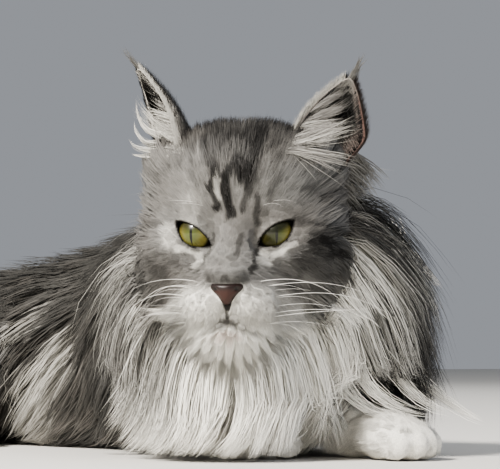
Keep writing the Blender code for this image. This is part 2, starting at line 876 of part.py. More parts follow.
def combed(roots, lengths, curls, rises, coat):
    """The middle lines of locks that start at the roots, and the skin's direction along them."""
    place = settled(body_field, np.asarray(roots, float), 3)
    normal = unit(gradient(body_field, place, 2.0))
    lie = lie_of(place)
    ahead = unit(lie - normal * (lie * normal).sum(1, keepdims=True))
    first = place - normal * coat.root_depth - ahead * ROOT_BACK
    lines, normals = [first], [normal]
    for step in range(1, coat.steps + 1):
        share = step / coat.steps
        lie = turned_about(lie_of(place), normal, curls * share)
        ahead = unit(lie - normal * (lie * normal).sum(1, keepdims=True))
        place = place + ahead * (lengths / coat.steps)[:, None]
        for _ in range(2):
            normal = unit(gradient(body_field, place, 2.0))
            height = rises * share**0.7
            place = place + normal * (height - body_field(place))[:, None]
        place[:, 2] = np.maximum(place[:, 2], LOCK_FLOOR)
        lines.append(place.copy())
        normals.append(normal.copy())
    return np.stack(lines, 1), np.stack(normals, 1)


def lock_mesh(line, normals, width, thickness):
    """A flat tapered lock round its middle line, closed, four sided and pointed."""
    points, faces = [], []
    count = len(line) - 1
    for i in range(count):
        ahead = unit(line[min(i + 1, count)] - line[max(i - 1, 0)])
        across = unit(np.cross(ahead, normals[i]))
        over = np.cross(across, ahead)
        half = width / 2 * LOCK_WIDTHS[i]
        thick = thickness / 2 * LOCK_THICKNESSES[i]
        ring = line[i] + np.array([across * half, over * thick, -across * half, -over * thick])
        ring[:, 2] += max(0.0, LOWEST_HAIR - ring[:, 2].min())
        points += list(ring)
    points.append(np.maximum(line[count], (-np.inf, -np.inf, LOWEST_HAIR)))
    points = np.array(points)
    faces.append((3, 2, 1, 0))
    for i in range(count - 1):
        for side in range(4):
            a, b = 4 * i + side, 4 * i + (side + 1) % 4
            faces.append((a, b, b + 4, a + 4))
    top = 4 * (count - 1)
    faces += [(top + side, top + (side + 1) % 4, 4 * count) for side in range(4)]
    return points, faces


def folded(line):
    """Whether a lock's middle line bends too sharply to stay one clean shape."""
    ways = unit(np.diff(line, axis=0))
    return (ways[1:] * ways[:-1]).sum(1).min() < STRAIGHTEST_FOLD


def tree_of(points, faces):
    """A tree of the surface to test for touching, from points in millimetres."""
    return BVHTree.FromPolygons([tuple(p) for p in points], [tuple(f) for f in faces])


def tree_of_object(made):
    """A tree of an object's surface to test for touching."""
    points = [tuple(np.array(v.co) / MM + BELLY_MIDDLE) for v in made.data.vertices]
    return BVHTree.FromPolygons(points, [tuple(p.vertices) for p in made.data.polygons])


def root_places(made, coat, allowed, seed, trees):
    """Places on the body part for roots, spaced along and across the lie, off its borders."""
    rng = np.random.default_rng(seed)
    work = bmesh.new()
    work.from_mesh(made.data)
    bmesh.ops.triangulate(work, faces=work.faces)
    corners = np.array([[v.co[:] for v in face.verts] for face in work.faces])
    areas = np.array([face.calc_area() for face in work.faces])
    work.free()
    picked = rng.choice(len(areas), size=ROOT_TRIES, p=areas / areas.sum())
    a, b = rng.random((2, ROOT_TRIES, 1))
    low = np.where(a + b > 1, 1 - a, a)
    high = np.where(a + b > 1, 1 - b, b)
    tri = corners[picked]
    points = tri[:, 0] + low * (tri[:, 1] - tri[:, 0]) + high * (tri[:, 2] - tri[:, 0])
    points = points / MM + BELLY_MIDDLE
    points = points[np.abs(body_field(points)) < 2.0]
    points = points[allowed(points)]
    clear = [
        all(tree.find_nearest(tuple(point))[3] > coat.border for tree in trees)
        for point in points
    ]
    points = points[np.array(clear)]
    lies = lie_of(points)
    kept = []
    for i, point in enumerate(points):
        if len(kept) == coat.most:
            break
        if kept:
            away = points[kept] - point
            along = np.abs((away * lies[i]).sum(1))
            across = np.sqrt(np.maximum((away**2).sum(1) - along**2, 0))
            if ((along / coat.along) ** 2 + (across / coat.across) ** 2).min() < 1:
                continue
        kept.append(i)
    return points[kept]


def grow_locks(made, coat, allowed, seed, others):
    """Fuses locks to the body part, leaving out those that would touch the other parts."""
    rng = np.random.default_rng(seed)
    trees = [tree_of_object(other) for other in others]
    roots = root_places(made, coat, allowed, seed, trees)
    count = len(roots)
    lengths = rng.uniform(*coat.length, count)
    curls = np.radians(rng.uniform(-coat.curl, coat.curl, count))
    rises = coat.rise * rng.uniform(0.85, 1.1, count)
    widths = coat.width * rng.uniform(0.85, 1.15, count)
    group = bpy.data.collections.new(made.name + "_locks")
    waiting = np.arange(count)
    for shorter, higher in LOCK_CHOICES:
        if not len(waiting):
            break
        lines, normals = combed(
            roots[waiting],
            lengths[waiting] * shorter,
            curls[waiting],
            rises[waiting] + higher,
            coat,
        )
        missed = []
        for i, line, up in zip(waiting, lines, normals):
            grown, faces = lock_mesh(line, up, widths[i] + 2 * GAP, coat.thickness + 3 * GAP)
            tree = tree_of(grown, faces)
            if folded(line) or any(tree.overlap(other) for other in trees):
                missed.append(i)
                continue
            points, faces = lock_mesh(line, up, widths[i], coat.thickness)
            lock = facing_out(mesh_object(f"{made.name}_lock_{i}", points, faces))
            bpy.context.scene.collection.objects.unlink(lock)
            group.objects.link(lock)
        waiting = np.array(missed, int)
    fuse(made, group)


def ear_locks(ear, made, head):
    """Fuses the tuft on the ear's tip and the hair across its cup."""
    base, up, opens, side = ear.frame()
    rise = unit(up)
    outward = 1 if ear.base[0] > 0 else -1
    medial = -1 if side[0] * outward > 0 else 1
    lines = []
    for height, lean, length in EAR_TUFTS:
        start = ear.point(height, lean, ear.tip_thickness / 2)
        way = rise + side * lean * 0.3 + np.array([outward * 0.2, 0, 0])
        bend = np.array([outward * 0.5, 0.1, -0.1])
        lines.append((start, way, bend, length, opens, EAR_TUFT_SIZE))
    for height, length in FURNISHINGS:
        start = ear.point(height, medial * FURNISHING_AT, ear.base_thickness / 2)
        way = opens * 0.55 - side * medial * 0.65 + rise * (1.6 * height - 0.3)
        bend = -side * medial * 0.6 + rise * 0.2 - opens * 0.2
        lines.append((start, way, bend, length, opens, FURNISHING_SIZE))
    tree = tree_of_object(head)
    group = bpy.data.collections.new(ear.name + "_locks")
    for start, way, bend, length, facing, (width, thickness) in lines:
        shares = np.linspace(0, 1, 5)[:, None]
        line = start + length * (unit(way) * shares + bend * 0.45 * shares**2)
        line = from_head(line)
        normals = np.tile(facing @ HEAD_AXES.T, (len(line), 1))
        grown, faces = lock_mesh(line, normals, width + 2 * GAP, thickness + 2 * GAP)
        if tree_of(grown, faces).overlap(tree):
            continue
        points, faces = lock_mesh(line, normals, width, thickness)
        lock = facing_out(mesh_object("ear_lock", points, faces))
        bpy.context.scene.collection.objects.unlink(lock)
        group.objects.link(lock)
    fuse(made, group)


def fuse(made, group):
    """Joins the group's objects to the body part in one step and removes them."""
    joined = made.modifiers.new("locks", "BOOLEAN")
    joined.operation = "UNION"
    joined.operand_type = "COLLECTION"
    joined.collection = group
    joined.solver = "MANIFOLD"
    apply_modifiers(made)
    for lock in list(group.objects):
        bpy.data.objects.remove(lock)
    bpy.data.collections.remove(group)
    keep_largest(made)


def main():
    """Builds the cat."""
    for old in list(bpy.data.objects):
        bpy.data.objects.remove(old)
    parts = head_parts()
    head = parts[0]
    ears = parts[-2:]
    torso = body_part("torso", TORSO, *TORSO_MAKE)
    cut_clear(torso, head)
    neck = body_part("neck", NECK, *NECK_MAKE)
    cut_clear(neck, head, *ears, torso)
    left_foreleg = body_part("foreleg_left", LEFT_FORELEG + toes(*LEFT_TOES), *LEFT_FORELEG_MAKE)
    right_foreleg = body_part(
        "foreleg_right", RIGHT_FORELEG + toes(*RIGHT_TOES), *RIGHT_FORELEG_MAKE
    )
    for leg in (left_foreleg, right_foreleg):
        cut_clear(leg, torso, neck)
    hind = HIND_LEG + toes(*HIND_TOES)
    left_hind = body_part("hindleg_left", hind, *HIND_LEG_MAKE)
    right_hind = body_part("hindleg_right", on_the_right(hind), *HIND_LEG_MAKE)
    for leg in (left_hind, right_hind):
        cut_clear(leg, torso)
    tail = []
    for number, (first, last) in enumerate(zip(TAIL_SPLITS[:-1], TAIL_SPLITS[1:]), start=1):
        made = body_part(f"tail_{number}", tail_limbs(first, last), *TAIL_MAKE)
        cut_clear(made, torso, left_hind, right_hind, *tail)
        tail.append(made)
    parts += [torso, neck, left_foreleg, right_foreleg, left_hind, right_hind, *tail]
    for plain in PLAIN_SHAPES.values():
        bpy.data.objects.remove(plain)
    for ear, made in zip((LEFT_EAR, RIGHT_EAR), ears):
        ear_locks(ear, made, head)
    for made, coat, allowed in (
        (head, CHEEK_TUFTS, on_cheek),
        (neck, RUFF_LOCKS, lambda p: (p[:, 2] > 22) & (p[:, 1] < 45)),
        (torso, TORSO_LOCKS, lambda p: p[:, 2] > 25),
        (left_foreleg, FEATHERS, lambda p: (p[:, 2] > 12) & (p[:, 1] > -110)),
        (left_hind, BRITCHES, lambda p: (p[:, 2] > 22) & (p[:, 1] > 175)),
        (right_hind, BRITCHES, lambda p: (p[:, 2] > 22) & (p[:, 1] > 175)),
        *((made, TAIL_LOCKS, lambda p: p[:, 2] > 8) for made in tail),
    ):
        others = [part for part in parts if part is not made]
        grow_locks(made, coat, allowed, SEED, others)
    for part in parts:
        painted(part, *FINISHES.get(part.name, COAT_FINISH))


if __name__ == "__main__":
    main()
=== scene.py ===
"""The looks of a life-size Maine Coon cat that lies on its chest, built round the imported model.

Shapes are worked out in millimetres in the cat's own frame, +Y from the chest to the tail, +X to
the cat's left and +Z up from the floor, and are placed in metres.
"""

import logging
import math
from collections.abc import Callable
from dataclasses import dataclass, replace
from enum import Enum

import bmesh
import bpy
import numpy as np
from mathutils import Euler, Matrix, Vector
from mathutils.bvhtree import BVHTree
from mathutils.kdtree import KDTree


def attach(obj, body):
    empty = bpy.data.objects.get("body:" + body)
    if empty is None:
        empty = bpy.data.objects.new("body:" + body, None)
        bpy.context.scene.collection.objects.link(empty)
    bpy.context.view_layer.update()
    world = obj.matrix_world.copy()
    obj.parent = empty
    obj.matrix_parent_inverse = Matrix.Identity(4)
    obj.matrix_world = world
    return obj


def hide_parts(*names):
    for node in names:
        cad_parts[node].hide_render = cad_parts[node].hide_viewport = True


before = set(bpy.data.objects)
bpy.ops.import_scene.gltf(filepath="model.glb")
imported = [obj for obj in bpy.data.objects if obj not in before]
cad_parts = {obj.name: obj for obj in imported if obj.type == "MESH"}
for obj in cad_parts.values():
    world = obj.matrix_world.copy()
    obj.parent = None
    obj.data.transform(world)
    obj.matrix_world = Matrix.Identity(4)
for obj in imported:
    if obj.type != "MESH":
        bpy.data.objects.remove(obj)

LOG = logging.getLogger("cat")
MM = 0.001
BELLY_MIDDLE = np.array([0.0, 130.0, 0.0])
UP = np.array([0.0, 0.0, 1.0])
VIEW_TURN = math.radians(37)
VIEW_MIDDLE = np.array([-72.0, -104.0, 0.0])
VIEW_RIGHT = np.array([math.cos(VIEW_TURN), -math.sin(VIEW_TURN), 0.0])
VIEW_AHEAD = np.array([math.sin(VIEW_TURN), math.cos(VIEW_TURN), 0.0])
TOE_SHAPE = (0.62, 1.1, 0.92)
OUTER_TOES_BACK = 5.0
WHISKER_ROWS = (-31.0, -35.0, -39.0, -42.0)
WHISKER_STAGGER = 1.6

Array = np.ndarray
Field = Callable[[Array], Array]
Draws = np.random.Generator
Socket = bpy.types.NodeSocket
Feed = Socket | float | tuple


def unit(vectors: Array) -> Array:
    """The vectors at length one."""
    vectors = np.asarray(vectors, float)
    return vectors / np.maximum(np.linalg.norm(vectors, axis=-1, keepdims=True), 1e-9)


def smooth_step(value: Array, low: float, high: float) -> Array:
    """A soft share from 0 at the low value to 1 at the high one, which may be the smaller."""
    share = np.clip((value - low) / (high - low), 0, 1)
    return share * share * (3 - 2 * share)


def smooth_min(a: Array, b: Array, width: float) -> Array:
    """The lower of two distances, with the corner between them rounded over the width."""
    overlap = np.maximum(width - np.abs(a - b), 0) / width
    return np.minimum(a, b) - overlap**2 * width / 4


def mirrored(points: Array) -> Array:
    """The points with the right side folded onto the left."""
    folded = points.copy()
    folded[:, 0] = np.abs(folded[:, 0])
    return folded


def gradient(field: Field, points: Array, reach: float = 0.5) -> Array:
    """The direction in which a field grows at each point.

    Args:
        field: A function from points to one number each.
        points: Where it is wanted.
        reach: How far to each side it is measured, in millimetres.

    Returns:
        One vector for each point.
    """
    slope = np.empty_like(points)
    for axis in range(3):
        offset = np.zeros(3)
        offset[axis] = reach
        slope[:, axis] = (field(points + offset) - field(points - offset)) / (2 * reach)
    return slope


def settled(field: Field, points: Array, rounds: int = 2) -> Array:
    """The points moved onto the surface where a field is zero.

    Args:
        field: A function from points to their distance from the surface.
        points: Places near the surface.
        rounds: How many times they are moved.

    Returns:
        The moved points.
    """
    for _ in range(rounds):
        slope = gradient(field, points)
        size = np.maximum((slope**2).sum(1), 0.05)
        points = points - (field(points) / size)[:, None] * slope
    return points


def wobble(points: Array, size: float, seed: int) -> Array:
    """Smooth noise from about -1 to 1.

    Args:
        points: Where it is wanted, in millimetres.
        size: How wide its lumps are, in millimetres.
        seed: Which noise it is.

    Returns:
        One number for each point.
    """
    rng = np.random.default_rng(seed)
    total = np.zeros(len(points))
    waves = 7
    for _ in range(waves):
        way = unit(rng.normal(size=3)) * math.pi / size * rng.uniform(0.6, 1.4)
        total += np.sin(points @ way + rng.uniform(0, math.tau))
    return total / math.sqrt(waves)


@dataclass(frozen=True)
class Ball:
    """An ellipsoid of flesh: its centre, half sizes, turn in degrees and the coat over it."""

    centre: tuple
    radii: tuple
    turn: tuple = (0, 0, 0)
    blend: float = 10.0
    coat: float = 0.0
    both_sides: bool = False
    hollow: bool = False

    def distance(self, points: Array) -> Array:
        """Roughly how far each point is outside the ellipsoid."""
        at = mirrored(points) if self.both_sides else points
        near = at - np.array(self.centre)
        if any(self.turn):
            near = near @ np.array(Euler([math.radians(a) for a in self.turn]).to_matrix())
        radii = np.array(self.radii, float)
        k0 = np.sqrt(((near / radii) ** 2).sum(1))
        k1 = np.sqrt(((near / radii**2) ** 2).sum(1))
        return k0 * (k0 - 1) / np.maximum(k1, 1e-9)


@dataclass(frozen=True)
class Limb:
    """A tapered limb of flesh from one end to the other, with the coat over it."""

    start: tuple
    end: tuple
    start_radius: float
    end_radius: float
    blend: float = 10.0
    coat: float = 0.0
    both_sides: bool = False
    hollow: bool = False

    def distance(self, points: Array) -> Array:
        """Roughly how far each point is outside the limb."""
        at = mirrored(points) if self.both_sides else points
        start = np.array(self.start, float)
        along = np.array(self.end, float) - start
        near = at - start
        share = np.clip(near @ along / (along @ along), 0, 1)
        radius = self.start_radius + share * (self.end_radius - self.start_radius)
        return np.sqrt(((near - share[:, None] * along) ** 2).sum(1)) - radius


def field_of(shapes: tuple, points: Array, grow: float = 0.0) -> Array:
    """How far each point is outside the shapes, with a share of their coat laid on.

    Args:
        shapes: Shapes that flow into each other, and hollow ones that are carved out.
        points: The points.
        grow: The share of the shapes' coat that counts as part of them.

    Returns:
        One distance for each point, less than zero inside.
    """
    total = None
    for shape in shapes:
        near = shape.distance(points) - grow * shape.coat
        if total is None:
            total = near
        elif shape.hollow:
            total = -smooth_min(-total, near, shape.blend)
        else:
            total = smooth_min(total, near, shape.blend)
    return total


def smooth_path(points: Array, steps: int) -> Array:
    """The points with others between them on a smooth curve through them.

    Args:
        points: The points that the curve goes through.
        steps: How many stretches lie between two of them.

    Returns:
        The points of the curve.
    """
    points = np.asarray(points, float)
    before = np.vstack([2 * points[0] - points[1], points[:-1]])
    after = np.vstack([points[1:], 2 * points[-1] - points[-2]])
    lean = (after - before) / 2
    made = []
    for i in range(len(points) - 1):
        for step in range(steps):
            t = step / steps
            start = (2 * t**3 - 3 * t**2 + 1) * points[i] + (t**3 - 2 * t**2 + t) * lean[i]
            end = (3 * t**2 - 2 * t**3) * points[i + 1] + (t**3 - t**2) * lean[i + 1]
            made.append(start + end)
    made.append(points[-1])
    return np.array(made)


def toes(place: tuple, heading: float, radius: float, spacing: float) -> tuple:
    """Four toes in a fan.

    Args:
        place: The middle of the row.
        heading: The way the paw points, in degrees.
        radius: The size of a toe.
        spacing: How far apart they are.

    Returns:
        The toes as shapes.
    """
    turn = math.radians(heading)
    ahead = np.array([math.sin(turn), -math.cos(turn), 0])
    across = np.array([math.cos(turn), math.sin(turn), 0])
    radii = tuple(radius * share for share in TOE_SHAPE)
    row = []
    for number in (-1.5, -0.5, 0.5, 1.5):
        back = OUTER_TOES_BACK if abs(number) > 1 else 0.0
        centre = np.array(place) + across * number * spacing - ahead * back
        row.append(Ball(tuple(centre), radii, (0, 0, heading), blend=2.5, coat=1))
    return tuple(row)


def flipped(place: tuple) -> tuple:
    """A place on the other side of the cat."""
    return (-place[0], *place[1:])


def on_the_right(shapes: tuple) -> tuple:
    """The same shapes on the cat's right side.

    Args:
        shapes: Balls and limbs of the left side.

    Returns:
        Their mirror images.
    """
    turned = []
    for shape in shapes:
        if isinstance(shape, Ball):
            turn = (shape.turn[0], -shape.turn[1], -shape.turn[2])
            turned.append(replace(shape, centre=flipped(shape.centre), turn=turn))
        else:
            turned.append(replace(shape, start=flipped(shape.start), end=flipped(shape.end)))
    return tuple(turned)


class Part(Enum):
    """The parts of the body, in the order in which the form measures them."""

    HEAD = 0
    NECK = 1
    TORSO = 2
    LEFT_FORELEG = 3
    RIGHT_FORELEG = 4
    LEFT_HINDLEG = 5
    RIGHT_HINDLEG = 6
    TAIL = 7


@dataclass(frozen=True)
class HeadPlace:
    """Where the head is carried: between the eyes, turned to the right and a little down."""

    at: tuple = (-78.0, -100.0, 130.0)
    turn: float = -45.0
    nod: float = 8.0

    def axes(self) -> Array:
        """The turn from the head's frame to the cat's."""
        turn = Matrix.Rotation(math.radians(self.turn), 3, "Z")
        return np.array(turn @ Matrix.Rotation(math.radians(self.nod), 3, "X"))

    def out(self, points: Array) -> Array:
        """Points of the head's frame in the cat's frame."""
        return np.asarray(points, float) @ self.axes().T + np.array(self.at)

    def into(self, points: Array) -> Array:
        """Points of the cat's frame in the head's frame."""
        return (np.asarray(points, float) - np.array(self.at)) @ self.axes()


@dataclass(frozen=True)
class Lids:
    """The opening of the left eye's lids in the head's frame; the right one mirrors it."""

    eye: tuple = (21.6, -1.0, 0.0)
    radius: float = 12.2
    outward: float = 12.0
    width: float = 23.4
    upper: float = 4.2
    lower: float = 5.6
    slant: float = 33.0
    deepest: float = 3.0

    def look(self) -> Array:
        """The way the left eye looks."""
        away = math.radians(self.outward)
        return np.array([math.sin(away), -math.cos(away), 0])

    def across(self) -> tuple[Array, Array]:
        """The way to the outer corner and the way up from it."""
        away, slant = math.radians(self.outward), math.radians(self.slant)
        side = np.array([math.cos(away), math.sin(away), 0])
        out = side * math.cos(slant) + UP * math.sin(slant)
        return out, UP * math.cos(slant) - side * math.sin(slant)

    def places(self, at: Array) -> tuple[Array, Array, Array]:
        """Places along the opening, above its line and in front of the eye's middle."""
        near = mirrored(at) - np.array(self.eye)
        out, rise = self.across()
        return near @ out / (self.width / 2), near @ rise, near @ self.look()

    def edges(self, along: Array) -> tuple[Array, Array]:
        """The heights of the lower and upper lid's edge at places along the opening."""
        arch = np.sin(math.pi * np.clip((along + 1) / 2, 0, 1))
        return -self.lower * arch**0.85, self.upper * arch**0.75

    def opening(self, at: Array) -> Array:
        """How far each point is outside the opening."""
        along, high, depth = self.places(at)
        low, top = self.edges(along)
        sideways = (np.abs(along) - 1) * self.width / 2
        flat = np.maximum(np.maximum(high - top, low - high) * 0.85, sideways)
        return np.maximum(flat, self.deepest - depth)


@dataclass(frozen=True)
class Nostrils:
    """The nose leather and the line of the mouth in the head's frame."""

    leather: tuple = (
        Ball((0, -42.5, -26.5), (9.0, 6, 4.4), blend=3),
        Ball((0, -43.4, -31.5), (3.4, 4.6, 5.0), blend=6),
    )
    holes: tuple = (
        Limb((4.6, -49.2, -28.6), (6.6, -47.2, -27.4), 1.2, 1.3, 1.2, 0, True, True),
        Limb((6.6, -47.2, -27.4), (9.6, -43.4, -29.0), 1.1, 0.6, 1.2, 0, True, True),
        Limb((0, -50.5, -24), (0, -49.5, -38), 0.5, 0.5, 1.0, 0, False, True),
    )
    mouth: tuple = (
        (0, -47.5, -36), (0, -46.5, -45.5), (8, -42, -49.5), (19, -32, -51.0), (30, -20, -49.5),
    )
    groove: float = 1.7
    top: float = -24.6


@dataclass(frozen=True)
class CatForm:
    """The flesh of the cat as named shapes that flow into each other."""

    place: HeadPlace = HeadPlace()
    lids: Lids = Lids()
    nose: Nostrils = Nostrils()
    head: tuple = (
        Ball((16, 32, 21), (33, 41, 36.5), blend=14, coat=5, both_sides=True),
        Ball((0, 31, 22), (36, 41, 37), blend=10, coat=5),
        Ball((0, 13, 17), (36, 22, 29), blend=16, coat=3),
        Ball((38, 31, 32), (15, 16, 17), blend=14, coat=4, both_sides=True),
        Ball((33, 20, -14), (24, 30, 28), blend=18, coat=5, both_sides=True),
        Ball((29, 5, -15), (18, 16, 15), blend=14, coat=2, both_sides=True),
        Ball((19, 2, 13), (16, 12, 7.5), (0, -12, 14), blend=7, coat=1, both_sides=True),
        Limb((0, 7, 14), (0, -32, -25), 13, 9, blend=10, coat=1),
        Ball((0, -10, -29), (27, 28, 19), blend=16, coat=2),
        Ball((11.5, -32, -37), (14, 13.5, 12), blend=7, coat=1.5, both_sides=True),
        Ball((0, -29, -51), (15, 13, 10.5), blend=6, coat=1.5),
        Ball((0, 2, -42), (27, 36, 16), blend=14, coat=5),
        Ball((24, -17, -2), (14, 9, 9), (0, -18, 0), 6, 0, both_sides=True, hollow=True),
        Ball((0, -38.5, -20.5), (9.0, 7.0, 4.6), blend=5, coat=0.5),
        Ball((21.6, -1, 0), (13.5, 13.5, 13.5), blend=3, coat=0.5, both_sides=True),
    )
    neck: tuple = (
        Limb((0, 20, 80), (-32, -52, 116), 52, 44, blend=20, coat=22),
        Ball((-6, -47, 68), (71, 48, 48), (0, 0, -37), blend=20, coat=26),
        Ball((27, -34, 98), (52, 42, 38), blend=20, coat=24),
        Ball((6, -81, 118), (31, 28, 34), blend=20, coat=24),
        Ball((-68, -32, 90), (28, 32, 34), blend=20, coat=22),
        Limb((-28, -50, 78), (-72, -86, 68), 44, 30, blend=20, coat=24),
    )
    torso: tuple = (
        Ball((0, 55, 66), (60, 112, 66), blend=20, coat=12),
        Ball((0, 150, 57), (70, 115, 61), blend=20, coat=14),
        Ball((0, 262, 53), (63, 85, 57), blend=20, coat=14),
        Ball((52, 12, 72), (27, 52, 52), blend=18, coat=14, both_sides=True),
        Limb((0, 20, 96), (0, 285, 72), 32, 30, blend=24, coat=14),
    )
    left_foreleg: tuple = (
        Limb((58, 2, 34), (12, -94, 17), 25, 15, blend=14, coat=8),
        Limb((12, -94, 17), (10, -128, 13.5), 15, 13, blend=10, coat=3),
        Ball((11, -137, 12), (20, 21, 12), (0, 0, 8), blend=10, coat=2),
        *toes((13, -150, 9.5), 8, 10, 9.2),
    )
    right_foreleg: tuple = (
        Limb((-62, 4, 34), (-66, -70, 17), 25, 15, blend=14, coat=8),
        Ball((-54, -80, 15), (24, 17, 14), (0, 0, 15), blend=12, coat=4),
        *toes((-31, -84, 9), 75, 9, 8),
    )
    hindleg: tuple = (
        Ball((74, 236, 50), (33, 74, 47), (0, 0, -4), blend=12, coat=12),
        Limb((96, 296, 16), (104, 190, 13), 16, 12, blend=14, coat=5),
        Ball((104, 172, 13), (17, 24, 13), blend=10, coat=4),
        *toes((104, 156, 9), 0, 9.5, 8.5),
    )
    tail_path: tuple = (
        (0, 310, 60), (8, 356, 42), (34, 392, 26), (78, 404, 22), (120, 390, 21),
        (150, 354, 20), (162, 310, 19), (163, 268, 17), (156, 228, 14),
    )
    tail_radii: tuple = (26, 21, 18, 16, 15, 14, 13, 11, 7)
    tail_coat: float = 16.0
    part_blend: float = 7.0

    def tail(self) -> tuple:
        """The tail as a row of limbs."""
        sized = np.column_stack([np.array(self.tail_path, float), self.tail_radii])
        path = smooth_path(sized, 2)
        return tuple(
            Limb(tuple(a[:3]), tuple(b[:3]), a[3], b[3], 8, self.tail_coat)
            for a, b in zip(path[:-1], path[1:])
        )

    def groups(self) -> tuple:
        """The shapes of each part but the head, in the order of Part."""
        front = (self.neck, self.torso, self.left_foreleg, self.right_foreleg)
        return (*front, self.hindleg, on_the_right(self.hindleg), self.tail())

    def distances(self, points: Array, grow: float = 0.0) -> Array:
        """How far each point is outside each part, one row for each."""
        rows = [field_of(self.head, self.place.into(points), grow)]
        rows += [field_of(shapes, points, grow) for shapes in self.groups()]
        return np.stack(rows)

    def joined(self, distances: Array | list) -> Array:
        """The parts' distances blended into those of one skin."""
        total = distances[0]
        for row in distances[1:]:
            total = smooth_min(total, row, self.part_blend)
        return total

    def skin(self, points: Array) -> Array:
        """How far each point is outside the bare skin."""
        return self.joined(self.distances(points))

    def body(self, points: Array) -> Array:
        """How far each point is outside the skin of all parts but the head."""
        return self.joined([field_of(shapes, points) for shapes in self.groups()])

    def coat_depth(self, points: Array) -> Array:
        """How deep the coat lies over the skin at each point, in millimetres."""
        return self.skin(points) - self.joined(self.distances(points, 1.0))

    def face(self, at: Array) -> Array:
        """The head's skin with its lids, sockets and mouth, at points of its own frame."""
        total = field_of(self.head, at)
        socket = Ball(self.lids.eye, (self.lids.radius + 0.15,) * 3, both_sides=True)
        total = -smooth_min(-total, socket.distance(at), 0.6)
        total = -smooth_min(-total, self.lids.opening(at), 1.4)
        return field_of((_Given(total), *self.mouth_grooves()), at)

    def mouth_grooves(self) -> tuple:
        """The line of the mouth and the philtrum as hollow limbs laid on the skin."""
        line = smooth_path(self.nose.mouth, 3)
        line = settled(lambda at: field_of(self.head, at), line, 3)
        size = self.nose.groove
        return tuple(
            Limb(tuple(a), tuple(b), size, size, 1.4, 0, True, True)
            for a, b in zip(line[:-1], line[1:])
        )


@dataclass(frozen=True)
class _Given:
    """A distance that is already known, for field_of to carve."""

    values: Array
    hollow: bool = False
    coat: float = 0.0

    def distance(self, points: Array) -> Array:
        """The known distances."""
        return self.values


@dataclass(frozen=True)
class EarShell:
    """The shell of an ear in the head's frame: where it stands, its tip and the way it opens."""

    name: str
    base: tuple
    tip: tuple
    opens: tuple
    pale: float = 0.0
    half_width: float = 22.0
    depth: float = 15.0
    base_thickness: float = 2.2
    tip_thickness: float = 0.9
    sunk: float = 0.3
    tuck: float = 2.4
    foot_tuck: float = 0.42
    narrowing: float = 0.62
    flattening: float = 0.8
    belly: float = 0.25
    bow: float = 4.0
    wrap: float = 100.0
    rows: int = 36
    columns: int = 41

    def axes(self) -> tuple[Array, Array, Array, Array]:
        """The base, the way up, the way it opens and the way across."""
        base = np.array(self.base, float)
        up = np.array(self.tip, float) - base
        opens = np.array(self.opens, float)
        opens = unit(opens - up * (opens @ up) / (up @ up))
        return base, up, opens, np.cross(unit(up), opens)

    def outward(self) -> float:
        """The sign of the across direction that leads away from the middle of the head."""
        side = self.axes()[3]
        return 1.0 if side[0] * self.base[0] > 0 else -1.0

    def at(self, height: Array, across: Array, inset: Array) -> Array:
        """Points of the shell.

        Args:
            height: From 0 at the base to 1 at the tip.
            across: From -1 to 1, with 0 at the back of the ear.
            inset: How far in from the back's surface, in millimetres.

        Returns:
            The points in the head's frame.
        """
        base, up, opens, side = self.axes()
        share = np.clip(height, 0, 1)
        arch = np.sin(math.pi * share)
        width = self.half_width * (1 - share) ** self.narrowing * (1 + self.belly * arch)
        width = width * (1 + self.tuck * np.minimum(height, 0))
        outer = across * self.outward() > 0
        width = width * (1 - self.foot_tuck * outer * smooth_step(height, 0.45, 0.0))
        depth = self.depth * (1 - share) ** self.flattening
        turn = across * math.radians(self.wrap)
        sine, cosine = np.sin(turn), np.cos(turn)
        out = np.multiply.outer(sine * width, side) - np.multiply.outer(cosine * depth, opens)
        inward = np.multiply.outer(cosine * width, opens) - np.multiply.outer(sine * depth, side)
        bowed = np.multiply.outer(self.bow * arch, opens)
        middle = base + np.multiply.outer(height, up) - bowed
        return middle + out + unit(inward) * np.asarray(inset)[..., None]

    def thickness(self, height: Array) -> Array:
        """How thick the shell is at each height."""
        share = np.clip(height, 0, 1)
        return self.base_thickness + share * (self.tip_thickness - self.base_thickness)

    def mesh(self) -> tuple[Array, list]:
        """Points and faces of the closed shell."""
        heights = np.linspace(-self.sunk, 0.985, self.rows)
        angles = np.linspace(-1, 1, self.columns)
        points = []
        for height in heights:
            level = np.full(self.columns, height)
            points.append(self.at(level, angles, np.zeros(self.columns)))
            points.append(self.at(level, angles[::-1], self.thickness(level)))
        ring = 2 * self.columns
        faces = []
        for row in range(self.rows - 1):
            for i in range(ring):
                a, b = row * ring + i, row * ring + (i + 1) % ring
                faces.append((a, b, b + ring, a + ring))
        for i in range(self.columns - 1):
            faces.append((i, ring - 1 - i, ring - 2 - i, i + 1))
        tip = self.rows * ring
        points.append(self.at(np.ones(1), np.zeros(1), np.zeros(1)))
        top = (self.rows - 1) * ring
        faces += [(top + i, top + (i + 1) % ring, tip) for i in range(ring)]
        return np.vstack(points), faces


LEFT_EAR = EarShell("ear_left", (46, 32, 36), (62, 34, 85), (0.25, -0.96, 0.1))
RIGHT_EAR = EarShell("ear_right", (-42, 32, 37), (-61, 33, 93), (-0.9, -0.45, 0.1), 1.0)


